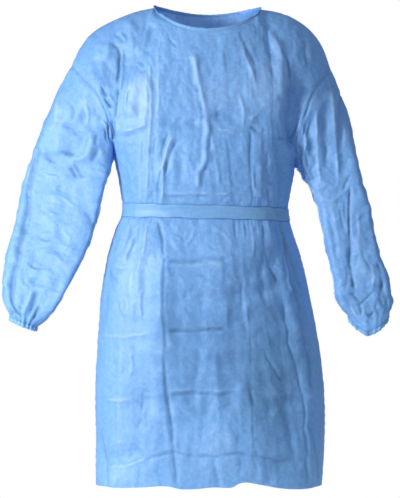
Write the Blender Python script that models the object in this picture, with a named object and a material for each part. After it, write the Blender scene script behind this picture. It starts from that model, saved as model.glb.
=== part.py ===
"""A disposable isolation gown in its worn shape, with no wearer inside.

Metres, +Z up. The wearer faces -Y, so the wearer's right arm is at -X. The origin is between the two
points where the neckline crosses the shoulders. The gown is cut as a front, two back panels that
overlap down the middle of the back, two sleeves with elastic cuffs, a bound neckline and a belt that
is tied behind. Every piece is a wall of cloth, and pieces that are joined lie SEAM_GAP apart.
"""

import math

import bpy
import numpy as np

WALL = 0.0012  # thickness of one layer of cloth
SEAM_GAP = 0.0004  # between two edges that are joined
LAYER_GAP = 0.0006  # between two layers that lie on each other
MOST_MITRE = 2.0  # how much thicker than WALL a seam may be where two pieces meet at a sharp angle
FRONT, BACK = -1, 1  # the sides of the body, as the sign of y

HEM_Z = -1.131
HEM_WAVE = 0.0030
ARMPIT_Z = {"right": -0.352, "left": -0.375}
SECTION_POWER = 0.86  # under 1 makes a section fuller than an ellipse
NECK_ROUNDING = 0.45  # how round the cloth is below the neckline, where a shoulder's is 1

BELT_Z = -0.4875  # middle of the belt, at the middle of the body
BELT_WIDTH = 0.030
BELT_WALL = 0.0016
BELT_GAP = 0.0009
BELT_LEAN = 4  # the belt slants far less than the armpits do
BELT_ENDS = {"right": {"length": 0.235, "x": -0.036}, "left": {"length": 0.205, "x": 0.030}}
END_WIDTH = 0.026
END_GAP = 0.0062  # how far a hanging end of the belt stays off the back
END_LEAN = 0.006  # how much lower one corner of its tip is than the other
END_CURL = 0.001
TOUCH = 0.0003  # between two solids that touch
KNOT_SIZE = (0.046, 0.017, 0.038)

NECK_SHARE = 0.50  # how much of a panel's width runs up to the neckline
NECK_Y = 0.012  # where the shoulder ridge meets the neckline
NECK_CUT = {
    FRONT: {"reach": 0.100, "drop": 0.069, "power": 1.3},
    BACK: {"reach": 0.066, "drop": 0.015, "power": 3.0},
}
BINDING_WIDTH = 0.008
BINDING_SWELL = 0.0005  # how much thicker the binding is than a panel, on each face
BINDING_RISE = 1.2  # how much the binding turns up from the cloth beside it
OVERLAP_LIFT = 0.0034  # how far the upper back panel stands off at the neckline, over the binding

ARMHOLE_DEPTH = {FRONT: 0.070, BACK: 0.076}
ARMHOLE_BOW = 0.7
ARMHOLE_TURN = 2.5  # the armhole runs straight up from the armpit, then turns out over the shoulder
CUFF_LENGTH = 0.011
CUFF_WALL = 0.0022
CUFF_BULGE = 0.0012
CUFF_GATHERS = 8
GATHER_HEIGHT = 0.0032

CLOTH_COLOUR = (0.29, 0.52, 0.83, 1.0)
BELT_COLOUR = (0.25, 0.48, 0.80, 1.0)


def table(names, rows):
    """A table as one array for each named column."""
    return dict(zip(names.split(), np.array(rows, float).T))


# The body below the armpits: its two sides, and how far it reaches forward and back.
BODY = table("z right left front back", (
    (-1.145, -0.263, 0.267, 0.143, 0.139),
    (-1.005, -0.263, 0.275, 0.143, 0.138),
    (-0.920, -0.264, 0.274, 0.142, 0.137),
    (-0.779, -0.257, 0.257, 0.139, 0.134),
    (-0.666, -0.248, 0.236, 0.134, 0.129),
    (-0.581, -0.234, 0.215, 0.127, 0.121),
    (-0.522, -0.215, 0.196, 0.117, 0.106),
    (-0.487, -0.200, 0.188, 0.109, 0.095),
    (-0.452, -0.203, 0.192, 0.119, 0.104),
    (-0.411, -0.210, 0.200, 0.128, 0.112),
    (-0.345, -0.224, 0.209, 0.131, 0.116),
))

# The shoulder ridge, from the neckline out to the top of the armhole.
RIDGE = {
    "right": table("share x z", (
        (0.0, -0.1260, -0.003),
        (0.2, -0.1700, -0.013),
        (0.4, -0.2220, -0.033),
        (0.6, -0.2710, -0.061),
        (0.8, -0.3020, -0.099),
        (1.0, -0.3230, -0.144),
    )),
    "left": table("share x z", (
        (0.0, 0.1235, -0.007),
        (0.2, 0.1630, -0.014),
        (0.4, 0.2100, -0.033),
        (0.6, 0.2454, -0.061),
        (0.8, 0.2714, -0.099),
        (1.0, 0.2900, -0.151),
    )),
}

# A sleeve's sections, from the armhole to the cuff: where the middle is, how wide and deep, by how many
# degrees the section slants down towards the body, and by how many it tips down at the front.
SLEEVE = {
    "right": table("share x y z wide deep slant tip", (
        (0.00, -0.2735, 0.003, -0.248, 0.1150, 0.070, 65, 0),
        (0.14, -0.3030, 0.002, -0.3145, 0.0980, 0.061, 42, 0),
        (0.28, -0.3270, 0.000, -0.383, 0.0930, 0.050, 20, 0),
        (0.42, -0.3460, -0.006, -0.454, 0.0960, 0.044, 18, 0),
        (0.58, -0.3670, -0.014, -0.539, 0.0910, 0.043, 18, 0),
        (0.75, -0.3980, -0.024, -0.621, 0.0820, 0.043, 19, 0),
        (0.86, -0.4145, -0.030, -0.676, 0.0710, 0.041, 20, 0),
        (0.94, -0.4275, -0.034, -0.716, 0.0550, 0.036, 21, 4),
        (1.00, -0.4320, -0.036, -0.742, 0.0345, 0.026, 22, 8),
    )),
    "left": table("share x y z wide deep slant tip", (
        (0.00, 0.2483, 0.003, -0.263, 0.1190, 0.070, 69, 0),
        (0.14, 0.2750, 0.002, -0.327, 0.0920, 0.068, 53, 0),
        (0.27, 0.2922, 0.000, -0.389, 0.0660, 0.066, 31, 0),
        (0.40, 0.3128, -0.006, -0.455, 0.0592, 0.064, 18, 0),
        (0.52, 0.3265, -0.014, -0.517, 0.0600, 0.063, 15, 0),
        (0.66, 0.3415, -0.022, -0.592, 0.0590, 0.061, 13, 0),
        (0.76, 0.3560, -0.028, -0.637, 0.0630, 0.058, 12, 0),
        (0.86, 0.3640, -0.034, -0.684, 0.0650, 0.053, 10, 4),
        (0.94, 0.3730, -0.038, -0.720, 0.0590, 0.045, 7, 18),
        (1.00, 0.3760, -0.040, -0.744, 0.0475, 0.034, 4, 42),
    )),
}
SLEEVE_POWER = 0.92  # as SECTION_POWER, for a sleeve
SLEEVE_LENGTH = 0.53
SLEEVE_ROUND = 0.41  # a typical way round a sleeve, which turns a fold's width into a length
ARMHOLE_FADE = 0.34  # the share of a sleeve over which it leaves the armhole's own outline

# The largest folds. Each runs straight from its start to its end, and its height is out of the cloth.
FOLDS = {
    FRONT: table("x0 z0 x1 z1 width height", (
        (-0.030, -0.120, 0.000, -0.270, 0.016, 0.0060),  # down the middle of the chest
        (0.000, -0.270, -0.020, -0.435, 0.016, 0.0060),
        (0.178, -0.110, 0.192, -0.300, 0.022, -0.0140),  # beside the left armhole
        (-0.215, -0.120, -0.200, -0.260, 0.020, -0.0080),  # beside the right armhole
        (-0.150, -0.130, -0.170, -0.300, 0.022, 0.0060),
        (0.090, -0.090, 0.125, -0.260, 0.024, 0.0060),
        (-0.165, -0.520, -0.205, -0.620, 0.018, -0.0100),  # out of the belt, to the right hip
        (-0.152, -0.540, -0.175, -0.760, 0.024, 0.0070),
        (-0.105, -0.540, -0.075, -1.120, 0.018, -0.0060),  # down the skirt
        (0.090, -0.690, 0.110, -1.120, 0.020, -0.0060),
        (0.175, -0.560, 0.222, -0.830, 0.016, -0.0090),  # down the left side
        (0.222, -0.830, 0.236, -1.131, 0.016, -0.0090),
        (-0.232, -0.980, -0.236, -1.131, 0.014, -0.0070),
    )),
    BACK: table("x0 z0 x1 z1 width height", (
        (-0.150, -0.150, -0.120, -0.400, 0.022, 0.0060),
        (0.150, -0.160, 0.125, -0.400, 0.022, 0.0060),
        (-0.185, -0.120, -0.200, -0.280, 0.020, -0.0080),
        (0.180, -0.130, 0.196, -0.300, 0.020, -0.0080),
        (-0.140, -0.560, -0.185, -0.800, 0.022, -0.0080),
        (0.135, -0.560, 0.180, -0.800, 0.022, -0.0080),
        (-0.150, -0.760, -0.175, -1.131, 0.024, 0.0070),
        (0.155, -0.760, 0.165, -1.131, 0.024, 0.0070),
    )),
}
# Small waves that the belt draws up, above and below it.
BELT_GATHERS = {FRONT: 3.0, BACK: 2.5}
BELT_GATHER_HEIGHT = 0.0030
BELT_GATHER_RISE = 0.020
BELT_GATHER_REACH = 0.055

# A sleeve's largest folds: around it, in turns from the armpit side by way of the front, and along it.
SLEEVE_FOLDS = {
    "right": table("turn0 share0 turn1 share1 width height", (
        (0.25, 0.16, 0.19, 0.40, 0.017, 0.0070),
        (0.14, 0.08, 0.05, 0.26, 0.015, -0.0080),
        (0.43, 0.30, 0.43, 0.90, 0.015, -0.0070),
        (0.22, 0.84, 0.20, 1.00, 0.010, -0.0080),
        (0.72, 0.20, 0.78, 0.70, 0.020, 0.0070),
        (0.64, 0.30, 0.60, 0.85, 0.016, -0.0060),
    )),
    "left": table("turn0 share0 turn1 share1 width height", (
        (0.22, 0.10, 0.24, 0.42, 0.015, 0.0080),
        (0.33, 0.10, 0.36, 0.44, 0.015, 0.0080),
        (0.12, 0.06, 0.05, 0.24, 0.015, -0.0080),
        (0.38, 0.40, 0.34, 0.84, 0.014, -0.0080),
        (0.46, 0.78, 0.46, 1.00, 0.010, -0.0080),
        (0.72, 0.20, 0.76, 0.70, 0.020, 0.0070),
        (0.62, 0.30, 0.60, 0.85, 0.016, -0.0060),
    )),
}
FOLD_END = 0.30  # the share of a fold's length over which it dies away at each end
SEAM_PLAIN = 0.12  # the share of half a panel's width, beside its side seam, over which folds die away

# Rows of points on a panel: even steps from the hem, then rows at these depths below the belt's
# middle, then even steps of v from the armpits to the top edge.
SKIRT_ROWS = 14
BELT_ROWS = (0.080, 0.051, 0.032, 0.0165, 0.0, -0.0165, -0.032, -0.051, -0.073, -0.098)
UPPER_ROWS = 8
BELT_ROW = SKIRT_ROWS + BELT_ROWS.index(0.0)
ARMPIT_ROW = SKIRT_ROWS + len(BELT_ROWS)
SHOULDER_COLUMNS = 8
NECK_COLUMNS = {FRONT: 14, BACK: 10}
OVERLAP_COLUMNS = 2  # how many columns each back panel runs past the middle of the back
SHOULDERS = {0: slice(None, SHOULDER_COLUMNS + 1), -1: slice(-SHOULDER_COLUMNS - 1, None)}
SLEEVE_POINTS = 4 * UPPER_ROWS
SLEEVE_ROWS = 17
END_ROWS = 10


# ---------------------------------------------------------------- numbers

def smooth(rows, key, name, at):
    """Column `name` of a table where its rising column `key` is `at`, on a smooth curve."""
    xs, ys = rows[key], rows[name]
    slopes = np.gradient(ys, xs)
    at = np.clip(at, xs[0], xs[-1])
    i = np.clip(np.searchsorted(xs, at) - 1, 0, len(xs) - 2)
    step = xs[i + 1] - xs[i]
    t = (at - xs[i]) / step
    ends = ys[i] * (1 + 2 * t) * (1 - t) ** 2 + ys[i + 1] * t * t * (3 - 2 * t)
    return ends + step * t * (1 - t) * (slopes[i] * (1 - t) - slopes[i + 1] * t)


def ease(t):
    """0 before 0, 1 after 1, and smooth between."""
    t = np.clip(t, 0.0, 1.0)
    return t * t * (3 - 2 * t)


def power(value, exponent):
    """A power that keeps the value's sign."""
    return np.sign(value) * np.abs(value) ** exponent


def unit(vectors):
    return vectors / np.maximum(np.linalg.norm(vectors, axis=-1, keepdims=True), 1e-12)


def fold_height(folds, keys, across, along):
    """The sum of a table's folds at the places (across, along), both lengths. `keys` names the
    columns that hold each fold's start and end."""
    total = np.zeros(np.broadcast(across, along).shape)
    for a0, b0, a1, b1, width, height in zip(*(folds[key] for key in (*keys, "width", "height"))):
        da, db = a1 - a0, b1 - b0
        t = ((across - a0) * da + (along - b0) * db) / (da * da + db * db)
        distance = np.hypot(across - a0 - t * da, along - b0 - t * db)
        ends = ease(t / FOLD_END) * ease((1 - t) / FOLD_END)
        total += height * np.exp(-(distance / width) ** 2) * ends
    return total


# ---------------------------------------------------------------- the body's surface
# u runs across a panel, from -1 at the right side to 1 at the left side.

def armpit_z(u):
    middle = (ARMPIT_Z["right"] + ARMPIT_Z["left"]) / 2
    return middle + (ARMPIT_Z["left"] - ARMPIT_Z["right"]) / 2 * np.sin(math.pi / 2 * u)


def hem_z(u):
    """The hem, which hangs a little unevenly."""
    return HEM_Z + HEM_WAVE * np.cos(3.8 * u) * (1 - u ** 8)


def below_belt(u, drop):
    """The height of the row that is `drop` below the belt's middle."""
    middle = armpit_z(0.0)
    lean = ((HEM_Z - BELT_Z + drop) / (HEM_Z - middle)) ** BELT_LEAN
    return BELT_Z - drop + lean * (armpit_z(u) - middle)


def skirt_point(side, u, z):
    """The body below the armpits."""
    right, left = smooth(BODY, "z", "right", z), smooth(BODY, "z", "left", z)
    depth = smooth(BODY, "z", "front" if side == FRONT else "back", z)
    x = (left + right) / 2 + (left - right) / 2 * power(np.sin(math.pi / 2 * u), SECTION_POWER)
    y = side * depth * np.maximum(np.cos(math.pi / 2 * u), 0.0) ** SECTION_POWER
    return np.stack([x, y, np.broadcast_to(z, x.shape)], -1)


def top_line(side, u):
    """The top edge of a panel: shoulder seam, neckline, shoulder seam."""
    cut = NECK_CUT[side]
    (x0, z0), (x1, z1) = ((RIDGE[name]["x"][0], RIDGE[name]["z"][0]) for name in ("right", "left"))
    across = np.clip(u / NECK_SHARE, -1, 1)
    bow = np.cos(math.pi / 2 * across)
    x = (x0 + x1) / 2 + (x1 - x0) / 2 * np.sin(math.pi / 2 * across)
    y = NECK_Y + side * cut["reach"] * bow ** 0.9
    z = (z0 + z1) / 2 + (z1 - z0) / 2 * across - cut["drop"] * bow ** cut["power"]
    for name, sign in (("right", -1), ("left", 1)):
        share = (sign * u - NECK_SHARE) / (1 - NECK_SHARE)
        outside = share > 0
        x = np.where(outside, smooth(RIDGE[name], "share", "x", share), x)
        y = np.where(outside, NECK_Y * (1 - 0.5 * share), y)
        z = np.where(outside, smooth(RIDGE[name], "share", "z", share), z)
    return np.stack([x, y, z], -1)


def chest_point(side, u, v):
    """The body above the armpits. v runs from 0 at the armpits to 1 at the top edge."""
    low, high = skirt_point(side, u, armpit_z(u)), top_line(side, u)
    rounding = NECK_ROUNDING + (1 - NECK_ROUNDING) * ease(np.abs(u) / NECK_SHARE)
    rise = (1 - rounding) * v + rounding * np.sin(math.pi / 2 * v)
    reach = (1 - rounding) * (1 - v) + rounding * np.cos(math.pi / 2 * v)
    outer = ease((np.abs(u) - NECK_SHARE) / (1 - NECK_SHARE))
    turn = outer * rise ** ARMHOLE_TURN + (1 - outer) * (1 - reach)
    x = low[..., 0] + (high[..., 0] - low[..., 0]) * turn
    y = high[..., 1] + (low[..., 1] - high[..., 1]) * reach
    z = low[..., 2] + (high[..., 2] - low[..., 2]) * rise
    y = y + side * ARMHOLE_DEPTH[side] * (4 * rise * (1 - rise)) ** ARMHOLE_BOW * np.abs(u) ** 3
    return np.stack([x, y, z], -1)


def gathers(side, u, height):
    """The small waves that the belt draws up, at a height above the belt's middle."""
    off = np.abs(height) - BELT_WIDTH / 2
    rise = ease(off / BELT_GATHER_RISE) * ease(1 - (off - BELT_GATHER_RISE) / BELT_GATHER_REACH)
    phase = 1.3 * np.sin(5 * u) + np.where(height > 0, 0.0, 1.1)
    return BELT_GATHER_HEIGHT * rise * np.cos(2 * math.pi * BELT_GATHERS[side] * u + phase)


def grid_normals(points):
    """The normals of a grid whose columns run from the wearer's right and whose rows run upwards, seen
    from the front."""
    return unit(np.cross(np.gradient(points, axis=1), np.gradient(points, axis=0)))


def panel_columns(side):
    neck = NECK_COLUMNS[side]
    return np.concatenate([
        np.linspace(-1, -NECK_SHARE, SHOULDER_COLUMNS + 1),
        np.linspace(-NECK_SHARE, NECK_SHARE, neck + 1)[1:],
        np.linspace(NECK_SHARE, 1, SHOULDER_COLUMNS + 1)[1:],
    ])


class Cloth:
    """A grid of points on a piece's outer face, and at each one the step there from its inner face, as
    a multiple of the wall's thickness."""

    def __init__(self, points, outward):
        self.points = points
        self.outward = outward

    def part(self, rows=slice(None), columns=slice(None)):
        return Cloth(self.points[rows, columns].copy(), self.outward[rows, columns].copy())


def panel(side):
    """The whole front or back, as rows from the hem upwards."""
    u = panel_columns(side)
    skirt_top = below_belt(u, BELT_ROWS[0])
    heights = [hem_z(u) + (skirt_top - hem_z(u)) * k / SKIRT_ROWS for k in range(SKIRT_ROWS)]
    heights += [below_belt(u, drop) for drop in BELT_ROWS]
    rows = [skirt_point(side, u, z) for z in heights]
    rows += [chest_point(side, u, k / UPPER_ROWS) for k in range(UPPER_ROWS + 1)]
    base = np.array(rows)
    above_belt = base[..., 2] - below_belt(u, 0.0)
    height = fold_height(FOLDS[side], ("x0", "z0", "x1", "z1"), base[..., 0], base[..., 2])
    height += gathers(side, u, above_belt)
    height *= ease((np.abs(above_belt) - BELT_WIDTH / 2) / BELT_GATHER_RISE)
    height *= ease((1 - np.abs(u)) / SEAM_PLAIN)
    height[-1] = 0.0
    height[-2] *= 0.6
    points = base - side * grid_normals(base) * height[..., None]
    return Cloth(points, -side * grid_normals(points))


# ---------------------------------------------------------------- sleeves

def armhole(front, back, column):
    """The armhole, from the armpit up the front, over the shoulder and down the back. It has the
    panels' points and one more halfway between each two."""
    up = front[ARMPIT_ROW:, column]
    down = back[ARMPIT_ROW:, column][::-1]
    loop = np.concatenate([up[:-1], down[:-1]])
    return np.stack([loop, (loop + np.roll(loop, -1, axis=0)) / 2], 1).reshape(-1, 3)


def sleeve_section(name, share, turns):
    """A sleeve's plain oval section. turns runs from 0 at the armpit side, by way of the front."""
    outward = -1 if name == "right" else 1
    x, y, z, wide, deep, slant, tip = (
        smooth(SLEEVE[name], "share", column, share)
        for column in ("x", "y", "z", "wide", "deep", "slant", "tip")
    )
    slant, tip = np.radians(slant), np.radians(tip)
    inward = power(np.cos(2 * math.pi * turns), SLEEVE_POWER) * wide
    forward = power(np.sin(2 * math.pi * turns), SLEEVE_POWER) * deep
    return np.stack([
        x - outward * inward * np.cos(slant),
        y - forward * np.cos(tip),
        z - inward * np.sin(slant) - forward * np.sin(tip),
    ], -1)


def ring_normals(name, points):
    around = np.roll(points, -1, axis=1) - np.roll(points, 1, axis=1)
    sign = 1 if name == "right" else -1
    return sign * unit(np.cross(around, np.gradient(points, axis=0)))


def sleeve(name, loop):
    """A sleeve, as rings from the armhole to the cuff."""
    even = np.arange(SLEEVE_POINTS) / SLEEVE_POINTS
    climb = (loop[:, 2] - loop[0, 2]) / (loop[SLEEVE_POINTS // 2, 2] - loop[0, 2])
    turns = np.arccos(1 - 2 * np.clip(climb, 0, 1)) / (2 * math.pi)
    turns = np.where(even > 0.5, 1 - turns, turns)
    shares = np.linspace(0, 1, SLEEVE_ROWS + 1)[:, None]
    near = 1 - ease(shares / ARMHOLE_FADE)
    turns = even + near * (turns - even)
    plain = sleeve_section(name, shares, turns)
    base = plain + near[..., None] * (loop - plain[0])
    folds = dict(SLEEVE_FOLDS[name])
    for end in ("0", "1"):
        folds["around" + end] = folds["turn" + end] * SLEEVE_ROUND
        folds["along" + end] = folds["share" + end] * SLEEVE_LENGTH
    keys = ("around0", "along0", "around1", "along1")
    height = fold_height(folds, keys, turns * SLEEVE_ROUND, shares * SLEEVE_LENGTH)
    height *= ease(shares / 0.15) * (1 - 0.7 * ease((shares - 0.9) / 0.1))
    height += GATHER_HEIGHT * np.cos(2 * math.pi * CUFF_GATHERS * even) * ease((shares - 0.80) / 0.20)
    points = base + ring_normals(name, base) * height[..., None]
    points[0] = loop
    return Cloth(points, ring_normals(name, points))


def cuff(name, cloth):
    """The elastic cuff, which carries on from the sleeve's last ring."""
    last, before = cloth.points[-1], cloth.points[-2]
    along = unit(last.mean(axis=0) - before.mean(axis=0))
    steps = np.array([0.0, 0.5, 1.0])[:, None, None]
    rings = last + along * (SEAM_GAP + CUFF_LENGTH * steps)
    outward = ring_normals(name, rings)
    outward[0] = cloth.outward[-1]
    return Cloth(rings + outward * CUFF_BULGE * np.sin(math.pi * steps), outward)


# ---------------------------------------------------------------- seams

def mitre(first, second):
    """The direction halfway between two pieces' own, long enough to keep both walls their thickness."""
    both = unit(first + second)
    along = np.sum(both * unit(first), axis=-1, keepdims=True)
    return both / np.maximum(along, 1 / MOST_MITRE)


def join_panels(front, back):
    """Mitres the side seams and the shoulder seams."""
    sides = np.s_[:ARMPIT_ROW + 1, [0, -1]]
    front.outward[sides] = back.outward[sides] = mitre(front.outward[sides], back.outward[sides])
    for shoulder in SHOULDERS.values():
        both = mitre(front.outward[-1, shoulder], back.outward[-1, shoulder])
        front.outward[-1, shoulder] = back.outward[-1, shoulder] = both


def join_sleeve(front, back, column, cloth):
    """Mitres an armhole."""
    ring = cloth.outward[0]
    quarter = SLEEVE_POINTS // 2
    up = mitre(unit(front.outward[ARMPIT_ROW:, column]), ring[:quarter + 1:2])
    down = mitre(unit(back.outward[ARMPIT_ROW:, column]), np.roll(ring, -1, axis=0)[quarter - 1::2][::-1])
    front.outward[ARMPIT_ROW:, column] = up
    down[0], down[-1] = up[0], up[-1]
    back.outward[ARMPIT_ROW:, column] = down
    loop = np.concatenate([up[:-1], down[::-1][:-1]])
    cloth.outward[0] = np.stack([loop, (loop + np.roll(loop, -1, axis=0)) / 2], 1).reshape(-1, 3)


def seam_shift(line, inside, outward, closed=False):
    """The step that takes a seam's line half a gap into its own piece."""
    along = np.roll(line, -1, axis=0) - np.roll(line, 1, axis=0) if closed else np.gradient(line, axis=0)
    across = unit(np.cross(along, outward))
    towards = np.sign(np.sum(across * (inside - line)))
    return across * towards * SEAM_GAP / 2


def draw_in_panel(cloth, *edges):
    """Draws a panel's seams and neckline in. `edges` are its seamed ones, 0 for its first column and -1
    for its last."""
    points, outward = cloth.points, cloth.outward
    shift = np.zeros_like(points)
    neck = slice(SHOULDER_COLUMNS if 0 in edges else None, -SHOULDER_COLUMNS if -1 in edges else None)
    seams = [((-1, neck), (-2, neck))]
    for edge in edges:
        inner = 1 if edge == 0 else -2
        for rows in (slice(None, ARMPIT_ROW + 1), slice(ARMPIT_ROW, None)):
            seams.append(((rows, edge), (rows, inner)))
        seams.append(((-1, SHOULDERS[edge]), (-2, SHOULDERS[edge])))
    for line, inside in seams:
        shift[line] += seam_shift(points[line], points[inside], outward[line])
    return Cloth(points + shift, outward)


def draw_in_rings(cloth, rows):
    """Draws in a tube's first or last ring, or both."""
    points = cloth.points.copy()
    for row, inner in rows:
        points[row] += seam_shift(cloth.points[row], cloth.points[inner], cloth.outward[row], closed=True)
    return Cloth(points, cloth.outward)


def lay_over(cloth, lower_columns):
    """Raises the first columns of the upper back panel, which lie on the lower one."""
    share = np.zeros(cloth.points.shape[1])
    share[:lower_columns] = 1.0
    share[lower_columns] = 0.5
    rows = np.linspace(0, 1, len(cloth.points))
    layer = WALL + LAYER_GAP
    lift = layer + (OVERLAP_LIFT - layer) * ease((rows - 0.90) / 0.10)
    return Cloth(cloth.points + unit(cloth.outward) * (share * lift[:, None])[..., None], cloth.outward)


# ---------------------------------------------------------------- solids

def material(name, colour):
    made = bpy.data.materials.new(name)
    made.use_nodes = True
    shader = made.node_tree.nodes["Principled BSDF"]
    shader.inputs["Base Color"].default_value = colour
    shader.inputs["Roughness"].default_value = 0.55
    shader.inputs["Metallic"].default_value = 0.0
    return made


def add_solid(name, points, faces, surface, flip=False):
    if flip:
        faces = [tuple(reversed(face)) for face in faces]
    mesh = bpy.data.meshes.new(name)
    mesh.from_pydata([tuple(point) for point in points.reshape(-1, 3)], [], faces)
    mesh.shade_smooth()
    mesh.set_sharp_from_angle(angle=math.radians(50))
    mesh.materials.append(surface)
    made = bpy.data.objects.new(name, mesh)
    bpy.context.scene.collection.objects.link(made)


def add_wall(name, cloth, thickness, surface, flip=False, ring=False):
    """A closed wall behind a grid. `ring` joins the last column to the first, and `flip` is for a grid
    whose columns and rows run clockwise seen from outside."""
    rows, columns = cloth.points.shape[:2]
    inner = cloth.points - cloth.outward * thickness
    inside = rows * columns
    last = columns if ring else columns - 1
    faces = []
    for i in range(rows - 1):
        for j in range(last):
            a, b = i * columns + j, i * columns + (j + 1) % columns
            c, d = b + columns, a + columns
            faces += [(a, b, c), (a, c, d)]
            faces += [(inside + c, inside + b, inside + a), (inside + d, inside + c, inside + a)]
    for j in range(last):
        a, b = j, (j + 1) % columns
        c, d = a + (rows - 1) * columns, b + (rows - 1) * columns
        faces += [(b, a, inside + a, inside + b), (c, d, inside + d, inside + c)]
    if not ring:
        for i in range(rows - 1):
            a, d = i * columns, (i + 1) * columns
            b, c = a + columns - 1, d + columns - 1
            faces += [(a, d, inside + d, inside + a), (c, b, inside + b, inside + c)]
    add_solid(name, np.concatenate([cloth.points, inner]), faces, surface, flip)


def add_belt(front, under, over, surface):
    """The belt, which lies on the outermost layer all the way round."""
    rows = slice(BELT_ROW - 1, BELT_ROW + 2)
    back = under.points.shape[1] - 2 * OVERLAP_COLUMNS
    points, outward = (
        np.concatenate([
            getattr(front, grid)[rows],
            getattr(over, grid)[rows, 1:-1][:, ::-1],
            getattr(over, grid)[rows, :1],
            getattr(under, grid)[rows, 1:back][:, ::-1],
        ], axis=1)
        for grid in ("points", "outward")
    )
    for edge in (0, 2):
        points[edge] = points[1] + unit(points[edge] - points[1]) * BELT_WIDTH / 2
    outward = unit(outward)
    add_wall("belt", Cloth(points + outward * (BELT_GAP + BELT_WALL), outward), BELT_WALL, surface, ring=True)
    return points


def binding(front, under, over):
    """The neckline's binding: one strip on the panels' edges, from the lower back panel's free edge
    round the front to the upper one's."""
    neck = slice(SHOULDER_COLUMNS, -SHOULDER_COLUMNS)
    line, outward = (
        np.concatenate([
            getattr(under, grid)[-1, SHOULDER_COLUMNS + 1:][::-1],
            getattr(front, grid)[-1, neck],
            getattr(over, grid)[-1, :-SHOULDER_COLUMNS - 1][::-1],
        ])
        for grid in ("points", "outward")
    )
    along = np.gradient(line, axis=0)
    up = unit(unit(np.cross(unit(outward), along)) + np.array([0, 0, BINDING_RISE]))
    shares = np.array([0.0, 0.4, 1.0])[:, None, None]
    points = line + up * (SEAM_GAP + BINDING_WIDTH * shares)
    points[0] += seam_shift(line, points[1], outward)
    turned = unit(np.cross(along, up))
    outwards = np.stack([outward, unit(outward + turned), turned])
    return Cloth(points + unit(outwards) * BINDING_SWELL, outwards)


def add_knot(belt_y, surface):
    """The knot, a rounded lump of cloth on the middle of the belt's back. It gives the height and the
    place in y of its underside."""
    rings, points = 9, 16
    wide, deep, high = (size / 2 for size in KNOT_SIZE)
    centre = np.array([0.0, belt_y + TOUCH + deep, BELT_Z])
    angle = 2 * math.pi * np.arange(points) / points
    sections = []
    for k in range(rings):
        climb = math.pi * ((k + 0.5) / rings - 0.5)
        girth = math.cos(climb) ** 0.6
        pinch = 1 - 0.10 * math.cos(3 * math.pi * math.sin(climb))
        x, y = power(np.cos(angle), 0.8) * wide * girth * pinch, power(np.sin(angle), 0.7) * deep * girth
        sections.append(centre + np.stack([x, y, np.full(points, high * math.sin(climb))], -1))
    faces = [tuple(reversed(range(points))), tuple(range((rings - 1) * points, rings * points))]
    for i in range(rings - 1):
        for j in range(points):
            a, b = i * points + j, i * points + (j + 1) % points
            faces.append((a, b, b + points, a + points))
    add_solid("belt_knot", np.array(sections), faces, surface)
    return sections[0][0, 2], centre[1]


def add_belt_end(name, top, top_y, surface):
    """One end of the belt, which hangs from the knot's underside, close to the back."""
    end = BELT_ENDS[name]
    share = np.linspace(1, 0, END_ROWS + 1)[:, None]
    across = np.linspace(-0.5, 0.5, 4)
    wide = END_WIDTH * (0.55 + 0.45 * ease(share / 0.25))
    x = end["x"] * (0.3 + 0.7 * share) + across * wide
    z = top - TOUCH - end["length"] * share + END_LEAN * across * share
    right, left = smooth(BODY, "z", "right", z), smooth(BODY, "z", "left", z)
    depth = smooth(BODY, "z", "back", z)
    off = power((2 * x - left - right) / (left - right), 1 / SECTION_POWER)
    y = depth * np.sqrt(1 - off ** 2) ** SECTION_POWER + END_GAP * (1 - 0.2 * share)
    y += (top_y - y[-1].mean()) * (1 - share) ** 3 + END_CURL * np.cos(7 * share + 5 * across) * share
    points = np.stack([x, y, z], -1)
    add_wall("belt_end_" + name, Cloth(points, -grid_normals(points)), BELT_WALL, surface, flip=True)


def main():
    for old in list(bpy.data.objects):
        bpy.data.objects.remove(old)
    cloth = material("nonwoven", CLOTH_COLOUR)
    strap = material("nonwoven_strap", BELT_COLOUR)
    front, back = panel(FRONT), panel(BACK)
    join_panels(front, back)
    for name, column in (("right", 0), ("left", -1)):
        arm = sleeve(name, armhole(front.points, back.points, column))
        join_sleeve(front, back, column, arm)
        band = cuff(name, arm)
        flip = name == "left"
        add_wall("sleeve_" + name, draw_in_rings(arm, ((0, 1), (-1, -2))), WALL, cloth, flip, ring=True)
        add_wall("cuff_" + name, draw_in_rings(band, ((0, 1),)), CUFF_WALL, strap, flip, ring=True)
    middle = SHOULDER_COLUMNS + NECK_COLUMNS[BACK] // 2
    under = back.part(columns=slice(None, middle + OVERLAP_COLUMNS + 1))
    over = back.part(columns=slice(middle - OVERLAP_COLUMNS, None))
    over = lay_over(over, 2 * OVERLAP_COLUMNS + 1)
    add_wall("front", draw_in_panel(front, 0, -1), WALL, cloth)
    add_wall("back_right", draw_in_panel(under, 0), WALL, cloth, flip=True)
    add_wall("back_left", draw_in_panel(over, -1), WALL, cloth, flip=True)
    belt = add_belt(front, under, over, strap)
    add_wall("neck_binding", binding(front, under, over), WALL + 2 * BINDING_SWELL, cloth)
    knot_bottom, knot_y = add_knot(belt[..., 1].max() + BELT_GAP + BELT_WALL, strap)
    for name in BELT_ENDS:
        add_belt_end(name, knot_bottom, knot_y, strap)


main()
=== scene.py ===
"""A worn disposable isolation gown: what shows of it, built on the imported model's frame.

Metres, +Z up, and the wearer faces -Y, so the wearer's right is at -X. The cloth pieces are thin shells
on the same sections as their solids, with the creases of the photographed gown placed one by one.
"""

import math

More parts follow.
